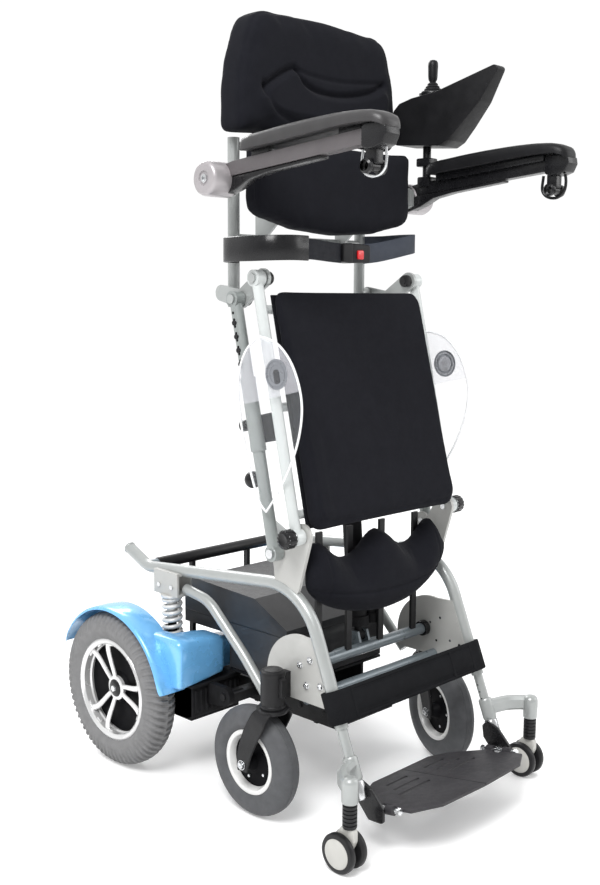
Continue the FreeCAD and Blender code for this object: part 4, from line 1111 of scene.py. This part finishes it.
def side_guards():
    path = curve2(GUARD + GUARD[:1], 6)[:-1]
    for side, sign in SIDES:
        def place(s, n, x, sign=sign):
            return seat_at(sign * x, s, n)
        inner = [(215 + (s - 215) * 0.985, (n + 2) * 0.975 - 2) for s, n in path]
        plate("guard_sheet_" + side, inner, 256.6, 258.4, place, "guard_clear", "seat",
              bevel=0.3,
              stands_for=("side_guards",) if side == "right" else ())
        bm = bmesh.new()
        round_bar(bm, [place(s, n, 257.5) for s, n in path], 2.3, 10, closed=True)
        finish_piece("guard_rim_" + side, bm, "guard_rim", "seat")
        middle = place(309, 34, 0)
        middle.x = 0
        bm = bmesh.new()
        for ring in ([(258.4, 29), (259.6, 29), (260.2, 27.6), (259.8, 25.4), (258.4, 25)],
                     [(258.4, 22), (259.4, 22), (259.9, 21), (259.6, 17.6), (258.4, 17)]):
            lathe(bm, flip(ring + ring[:1], sign), middle, segments=56)
        finish_piece("guard_emblem_rings_" + side, bm, "emblem_grey", "seat")
        bm = bmesh.new()
        lathe(bm, flip([(258.9, 0), (258.9, 25.2), (258.3, 25.4)], sign), middle, segments=48)
        finish_piece("guard_emblem_disc_" + side, bm, "emblem_grey", "seat")
        bm = bmesh.new()
        slab(bm, rounded([(291, 27), (291, 41), (318, 41), (318, 27)], 6), 258.9, 259.8, place)
        finish_piece("guard_emblem_bar_" + side, bm, "emblem_dark", "seat")
        frost = [(s, n) for s, n in inner if s > 262]
        plate("guard_frosting_" + side, frost, 258.5, 258.8, place, "guard_frost", "seat",
              bevel=0.05)


def link_at(x, t, behind=0.0):
    """A point t mm up the rear links from their lower pins."""
    y, z = (start + t * up - behind * out for start, up, out in zip(LINK_PIVOT, ALONG, AHEAD))
    return at(x, y, z)


def link_details():
    for side, sign in SIDES:
        bm = bmesh.new()
        for ends in ((200, 215), (335, 345)):
            round_bar(bm, [link_at(sign * 238, t) for t in ends], 15.6, 28)
        finish_piece("link_collars_" + side, bm, "link_green", "link")
        bm = bmesh.new()
        slab(bm, [(215, -32), (270, -32), (270, 8), (215, 8)], 211, 226,
             lambda t, b, x, sign=sign: link_at(sign * x, t, b))
        bevel_edges(bm, 2.0, 3)
        finish_piece("link_lock_block_" + side, bm, "pod_black", "link")
        # Very dark flat discs stand for the height holes: painted shade inside each hole.
        bm = bmesh.new()
        for k in range(9):
            spot = link_at(0, 365 + 13.5 * k)
            lathe(bm, flip([(251.0, 0), (251.0, 2.6), (249.6, 3.0)], sign), spot, segments=16)
        finish_piece("link_height_holes_" + side, bm, "rim_black", "link")


def knob_caps():
    """Ribbed caps over the knee pivots."""
    def ribs(a, r, turn):
        return a, r - (1.2 if r > 14 and math.sin(turn * 14) > 0.2 else 0.0)

    for side, sign in SIDES:
        ring = [(252.5, 8), (252.5, 17.6), (254, 19), (270, 19), (273.5, 17), (275, 12), (274, 10),
                (273.2, 9), (273.2, 0)]
        turned("knee_knob_" + side, flip(ring, sign), at(0, *SEAT_PIVOT), "gloss_black", "frame",
               segments=140, shape=ribs)


# --- footrest -------------------------------------------------------------------------------------
def footrest(side, sign):
    body, swivel, wheel = "footrest", "tip_swivel_" + side, "tip_wheel_" + side
    x = sign * 218

    def on(z, dx=0.0, dy=0.0):
        return at(x + sign * dx, down_tube(z) + dy, z)

    stands = ("footrest_frame",) if side == "right" else ()
    bm = bmesh.new()
    round_bar(bm, [on(z) for z in (330, 240, 170, 104)], 9.8, 28)
    finish_piece("foot_tube_" + side, bm, "frame_silver", body, stands)
    bm = bmesh.new()
    # Very dark flat discs stand for the adjustment holes: painted shade inside each hole.
    for k in range(5):
        z = 205 - 14 * k
        lathe(bm, flip([(-9.86, 0), (-9.86, 1.6), (-9.0, 1.6)], sign), on(z), segments=16)
    finish_piece("foot_tube_holes_" + side, bm, "rim_black", body)
    bm = bmesh.new()
    round_bar(bm, [on(z) for z in (176, 174, 172, 140, 136, 134)], [12.5, 14, 14.6, 14.6, 14, 12.5], 28)
    arm = smooth_path([on(158, 2), on(159, 20, -8), on(161, 48, -22), at(sign * 290, -680, 163),
                       at(sign * TIP_X, -692, 160)], 6)
    strap(bm, arm, 30, 23, (0, 0, 1), rounding=0.5)
    finish_piece("tip_arm_" + side, bm, "frame_silver", body)
    centre = at(sign * TIP_X, TIP_Y, 0)
    post = [(132, 5.2), (132, 14), (134, 15.4), (158, 16), (170, 16), (176, 14.4), (180, 10.5), (181.5, 5),
            (181.5, 0)]
    turned("tip_post_" + side, post, centre, "frame_silver", body, axis=(0, 0, 1),
           segments=48)
    bracket = rounded([(-700, 64), (-664, 62), (-632, 96), (-628, 122), (-642, 134), (-668, 124), (-700, 92)],
                      8, 4)
    plate("foot_bracket_" + side, bracket, 203, 210, side_on(sign), "gloss_black", body,
          bevel=1.4)
    bm = bmesh.new()
    round_bar(bm, [on(z) for z in (134, 131, 104, 101)], [13, 14.4, 14.4, 13], 24)
    slab(bm, rounded([(-692, 77), (-692, 91), (-672, 91), (-672, 77)], 3), 190, 206, side_on(sign))
    bevel_edges(bm, 1.0, 2)
    slope = math.radians(10)
    run = Vector((0, math.cos(slope), -math.sin(slope)))
    hinge = at(sign * 191, -682, 84)
    round_bar(bm, [hinge + run * (t * MM) for t in (-40, -38, 38, 40)], [3.5, 5.0, 5.0, 3.5], 20)
    for t in (-42, 42):
        round_bar(bm, [hinge + run * ((t + d) * MM) for d in (-3, -2.4, 2.4, 3)], [6.0, 7.2, 7.2, 6.0], 6)
    finish_piece("foot_hinge_" + side, bm, "bright_steel", body, sharp=30)
    ribs = [(85, 6), (85, 12.5)]
    for k in range(6):
        z = 87 + 7.3 * k
        ribs += [(z, 13.6), (z + 4.6, 13.6), (z + 5.2, 11.8), (z + 6.8, 11.8)]
    ribs += [(131.0, 12.8), (131.0, 6)]
    turned("tip_sleeve_" + side, ribs, centre, "tip_black", swivel, axis=(0, 0, 1), segments=48,
           stands_for=("anti_tip_swivel_" + side,), sharp=30)
    hood = rounded([(-706, 86), (-676, 86), (-662, 66), (-660, 46), (-666, 26), (-680, 22), (-692, 30),
                    (-706, 62)], 9, 4)
    plate("tip_hood_" + side, hood, 285.5, 298.5, side_on(sign), "tip_beige", swivel, bevel=2.2)
    hub = at(sign * TIP_X, -679, 37.5)
    bm, face = bmesh.new(), bmesh.new()
    for s in (-1, 1):
        tyre = [(8, 8), (8, 33), (9.5, 36), (12, 37.5), (19, 37.5), (22, 36), (23, 33), (23, 28.6),
                (21.4, 28.2), (21.4, 8)]
        lathe(bm, flip(tyre, s), hub, segments=64)
        disc = [(21.2, 28), (22.6, 28), (23.6, 26.6), (24, 20), (24.2, 8), (24.2, 0)]
        lathe(face, flip(disc, s), hub, segments=64)
    finish_piece("tip_tyres_" + side, bm, "tip_black", wheel, ("anti_tip_wheels_" + side,))
    finish_piece("tip_wheel_faces_" + side, face, "tip_beige", wheel)


# --- small hardware -------------------------------------------------------------------------------
def frame_details():
    head = [(208.5, 7.4), (210.2, 7.4), (210.6, 6.6), (212, 6.2), (213.6, 4.8), (213.8, 3.0), (212.4, 2.6),
            (212.4, 0)]
    bm = bmesh.new()
    for sign in (-1, 1):
        for y, z in ((-483, 319), (-510, 334), (-501, 281), (-538, 288)):
            lathe(bm, flip(head, sign), at(0, y, z), segments=24)
    finish_piece("gusset_bolts", bm, "bright_steel", "frame", sharp=35)
    bm = bmesh.new()
    for collar in ([(186, 12.2), (186, 15.5), (188, 17), (199, 17), (201, 15.5), (201, 12.2)],
                   [(-188, 12.2), (-188, 14.5), (-190, 15.5), (-199, 15.5), (-201, 14.5), (-201, 12.2)]):
        lathe(bm, collar, at(0, -470, 305), segments=40)
    finish_piece("cross_tube_collars", bm, "gloss_black", "frame")
    bm = bmesh.new()
    grip = [(-188, 11.1), (-188, 12.4), (-186, 13.2), (186, 13.2), (188, 12.4), (188, 11.1)]
    lathe(bm, grip, at(0, -12, 437), segments=40)
    finish_piece("rear_tube_sleeve", bm, "tip_black", "frame")
    bm = bmesh.new()
    knob = [(217.8, 12), (214, 13.4), (206, 13.4), (203, 11.5), (202, 7), (200, 6.5), (200, 0)]
    for sign in (-1, 1):
        for pivot in UPPER_PIVOTS:
            lathe(bm, flip(knob, sign), at(0, *pivot), segments=32)
    finish_piece("upper_pivot_knobs", bm, "tip_black", "back")
    bm = bmesh.new()
    for sign in (-1, 1):
        stem = at(sign * CASTER_STEM_X, CASTER_STEM_Y, 0)
        lathe(bm, [(233.6, 22), (233.6, 25.4), (236, 26.2), (240, 26.2), (242, 24.6), (242, 22)], stem,
              (0, 0, 1), 48)
        lathe(bm, [(300, 22), (300, 25), (303, 25.6), (308, 24.4), (311, 20), (313, 14), (313, 0)], stem,
              (0, 0, 1), 48)
        slab(bm, rounded([(-480, 262), (-480, 296), (-472, 300), (-468, 300), (-468, 258)], 2), 244, 256,
             side_on(sign))
    finish_piece("caster_housing_trim", bm, "black_metal", "frame")
    cap = [(0, 13.2), (1, 14), (5, 14), (7, 12.6), (8, 9), (8, 0)]
    run = Vector((0, 70, 32)).normalized()
    for side, sign in SIDES:
        turned("handle_cap_" + side, cap, at(sign * 218, 50, 468) - run * 0.004, "frame_silver", "frame",
               axis=run, segments=40)


def chassis_details():
    """Ribs and bolts along the battery tray."""
    bm = bmesh.new()
    for y in (-420, -330, -240, -150, -60, 20):
        slab(bm, [(y, 148.5), (y, 151), (y + 10, 151), (y + 10, 148.5)], -93, 93, side_on(1))
    for sign in (-1, 1):
        for y in range(-440, 50, 70):
            lathe(bm, flip([(92, 6), (94, 6), (95, 4.6), (95, 0)], sign), at(0, y, 176), segments=6)
    finish_piece("tray_ribs_and_bolts", bm, "black_metal", "frame", sharp=25)


def paint_nodes():
    """Gives every CAD node its material; the seat pan is black like the cushion on it."""
    for entry in frame["record"]["subparts"]:
        node = frame["nodes"][entry["node"]]
        mat = MATERIALS["pad_black" if entry["node"] == "seat_pan" else entry["material_slot"]]
        for slot in node.material_slots:
            slot.material = mat


def main():
    make_camera()
    make_room()
    make_materials()
    paint_nodes()
    for side, sign in SIDES:
        drive_wheel(side, sign)
        caster(side)
        fender(side, sign)
        suspension_spring(side, sign)
        armrest(side, sign)
        footrest(side, sign)
    back_cushion()
    lower_back_pad()
    seat_cushion()
    knee_pad()
    calf_strap()
    lap_belt()
    joystick()
    side_guards()
    link_details()
    knob_caps()
    frame_details()
    chassis_details()


main()
